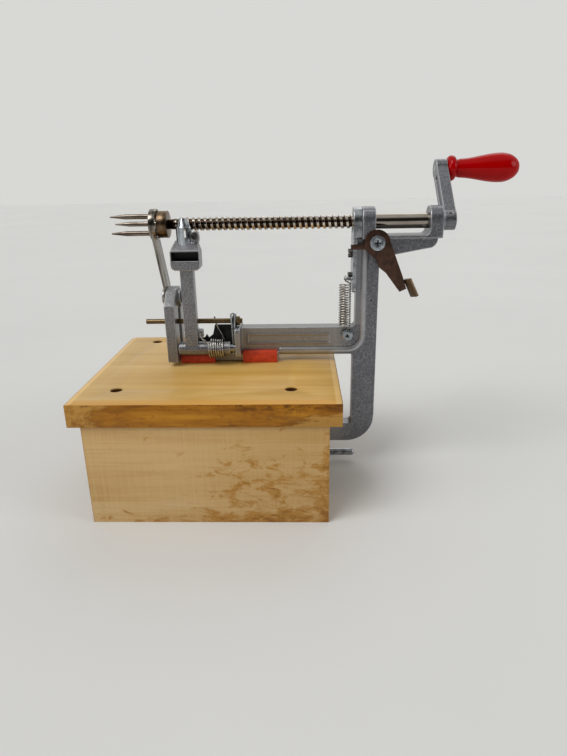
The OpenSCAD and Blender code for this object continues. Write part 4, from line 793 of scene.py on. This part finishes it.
pivot_low, pivot_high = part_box("pivot_rod")
rod_low, rod_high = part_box("stop_rod")
pivot_y, pivot_z = (pivot_low.y + pivot_high.y) / 2, (pivot_low.z + pivot_high.z) / 2
arm_wire, arm_coil_r, arm_pitch, arm_turns = 0.0015, 0.00775, 0.002, 6.5
hub_end, lug_in, lug_front, rod_gap = 0.0054, 0.02065, 0.003, 0.0005
arm_coil_x = arm_high.x - hub_end - arm_pitch * arm_turns
lug_x = arm_low.x + lug_in
leg_y = pivot_y - lug_front - arm_wire / 2
leg_back = rod_high.y + arm_wire / 2 + rod_gap
rod_z = (rod_low.z + rod_high.z) / 2
early_steps = 3
coil = []
for i in range(-early_steps, int(per_turn * arm_turns) + 1):
    a = 2 * pi * i / per_turn
    coil_x = arm_coil_x + arm_pitch * i / per_turn
    coil.append((coil_x, pivot_y - arm_coil_r * cos(a), pivot_z - arm_coil_r * sin(a)))
last = Vector(coil[-1])
front_leg = soften([
    (lug_x, leg_y - 0.0003, pivot_z + 0.0155), (lug_x, leg_y - 0.0006, pivot_z + 0.0105),
    ((lug_x + arm_coil_x) / 2, pivot_y - arm_coil_r + 0.0016, pivot_z + 0.0084), coil[0],
])
back_leg = soften([
    coil[-1], last + Vector((-0.0012, 0.0005, 0.006)), last + Vector((-0.0036, 0.001, 0.012)),
    (last.x - 0.0075, leg_back, rod_z - 0.005), (last.x - 0.009, leg_back, rod_z + 0.003),
])
points, faces = wire_skin(front_leg[:-1] + coil + back_leg[1:], arm_wire, (1, 0, 0))
arm_spring = add_piece("arm_spring", points, faces, bright_wire, None, "spring_steel", "torsion_spring")
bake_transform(arm_spring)

# Stop rod and bracket
# A dark brown rod behind the arm stops its swing. It runs through the arch
# and a black plate bracket on the foot, and a nut holds it there.

olive_bronze = metal_finish(
    "olive_bronze", tone(128, 110, 82), tone(82, 68, 46), 0.36, spot=0.005, streak=(0.4, 1, 1),
)
eased_copy("stop_rod", olive_bronze, 0.0003, "base", "stop_rod_turned", steep=60)
eased_copy("rod_nut", olive_bronze, 0.0003, "base", "stop_rod_nut")
black_satin, tree, shader = start_finish("black_satin", 0.0, 0.45)
chips = mottle(tree, 0.003, detail=5.0, roughness=0.65)
black = shades(tree, chips, (0.35, tone(16, 16, 17)), (0.6, tone(30, 30, 31)), (0.78, tone(62, 58, 55)))
tree.links.new(black, shader.inputs["Base Color"])
tree.links.new(between(tree, chips, 0.3, 0.7, 0.34, 0.56), shader.inputs["Roughness"])
relief(tree, shader, chips, 0.00005, 0.5)
eased_copy("rod_bracket", black_satin, 0.0003, "base", "stop_rod_bracket")

# Corer and slicer
# A ground steel ring on a leaning strip, which cores and slices the apple in one pass.
# A round head bolt and a dark nut hold the strip on the arch.

ground_steel = metal_finish(
    "ground_steel", tone(156, 150, 140), tone(58, 50, 42), 0.22, spot=0.0045, streak=(1, 1, 0.14),
)
eased_copy("corer_blade", ground_steel, 0.0002, "base", "coring_ring_and_strip", steep=50)
eased_copy("corer_bolt", silver_grey, 0.001, "base", "corer_round_bolt", segments=3, steep=60)
eased_copy("corer_nut", dark_steel, 0.0004, "base", "corer_hex_nut", steep=50)

# Floor and light
# A plain pale floor under wide soft lights, in a pale room.
# The metal mirrors the room, and also a dim side of it, low down in front of the peeler.

floor_half = 6.0
floor_mesh = bpy.data.meshes.new("pale_floor")
floor_corners = [(floor_half * a, floor_half * b, 0) for a, b in ((-1, -1), (1, -1), (1, 1), (-1, 1))]
floor_mesh.from_pydata(floor_corners, [], [(0, 1, 2, 3)])
floor = bpy.data.objects.new("pale_floor", floor_mesh)
bpy.context.scene.collection.objects.link(floor)
pale_floor, tree, shader = start_finish("pale_floor", 0.0, 0.7)
floor_tone = shades(tree, mottle(tree, 0.4), (0.3, tone(218, 218, 216)), (0.7, tone(222, 222, 220)))
tree.links.new(floor_tone, shader.inputs["Base Color"])
floor_mesh.materials.append(pale_floor)

world = bpy.data.worlds.new("pale_room")
bpy.context.scene.world = world
world.use_nodes = True
tree = world.node_tree
sky = tree.nodes["Background"]
ray = tree.nodes.new("ShaderNodeLightPath")
seen = combine(tree, "MAXIMUM", ray.outputs["Is Camera Ray"], ray.outputs["Is Glossy Ray"])
seen = combine(tree, "MAXIMUM", seen, ray.outputs["Is Transmission Ray"])
room_light = 0.5
tree.links.new(between(tree, seen, 0, 1, room_light, 1.0), sky.inputs["Strength"])
way = tree.nodes.new("ShaderNodeTexCoord")
split = tree.nodes.new("ShaderNodeSeparateXYZ")
tree.links.new(way.outputs["Generated"], split.inputs["Vector"])
front = between(tree, split.outputs["Y"], -0.1, -0.4)
low = between(tree, split.outputs["Z"], 0.9, 0.65)
dim_side = combine(tree, "MULTIPLY", combine(tree, "MULTIPLY", front, low), ray.outputs["Is Glossy Ray"])
tree.links.new(lay_over(tree, dim_side, tone(216, 216, 213), tone(44, 43, 42)), sky.inputs["Color"])


def wide_light(name, side, strength, width):
    """An even light from that side, as soft as a window that many degrees wide."""
    light = bpy.data.lights.new(name, "SUN")
    light.energy = strength
    light.angle = radians(width)
    lamp = bpy.data.objects.new(name, light)
    bpy.context.scene.collection.objects.link(lamp)
    lamp.location = side
    lamp.rotation_euler = (-Vector(side)).to_track_quat("-Z", "Y").to_euler()


wide_light("window_left", (-0.85, -0.7, 1.5), strength=1.35, width=34)
wide_light("side_left", (-1.3, -0.5, 0.4), strength=0.5, width=30)
wide_light("side_right", (1.3, -0.45, 0.5), strength=0.55, width=30)
wide_light("lamp_back", (0.3, 1.2, 1.2), strength=0.4, width=40)

# Camera
# It stands in front of the stand, a little to the right of its middle and above it,
# and looks slightly down, as the photograph was taken.

camera_place = (0.0748, -0.4117, 0.2640)
camera_down, camera_turn, camera_roll = radians(19.66), radians(-2.0), radians(-1.05)
image_long_side = 756
focal_pixels = 569
lens = bpy.data.cameras.new("photo_camera")
lens.sensor_width = 36
lens.lens = focal_pixels * lens.sensor_width / image_long_side
lens.clip_start = 0.01
camera = bpy.data.objects.new("photo_camera", lens)
bpy.context.scene.collection.objects.link(camera)
ahead = Vector((sin(camera_turn) * cos(camera_down), cos(camera_turn) * cos(camera_down), -sin(camera_down)))
level = Vector((cos(camera_turn), -sin(camera_turn), 0))
upright = level.cross(ahead)
right = level * cos(camera_roll) + upright * sin(camera_roll)
top = upright * cos(camera_roll) - level * sin(camera_roll)
camera.matrix_world = Matrix.Translation(camera_place) @ Matrix((right, top, -ahead)).transposed().to_4x4()
bpy.context.scene.camera = camera
bpy.context.scene.view_settings.view_transform = "Standard"
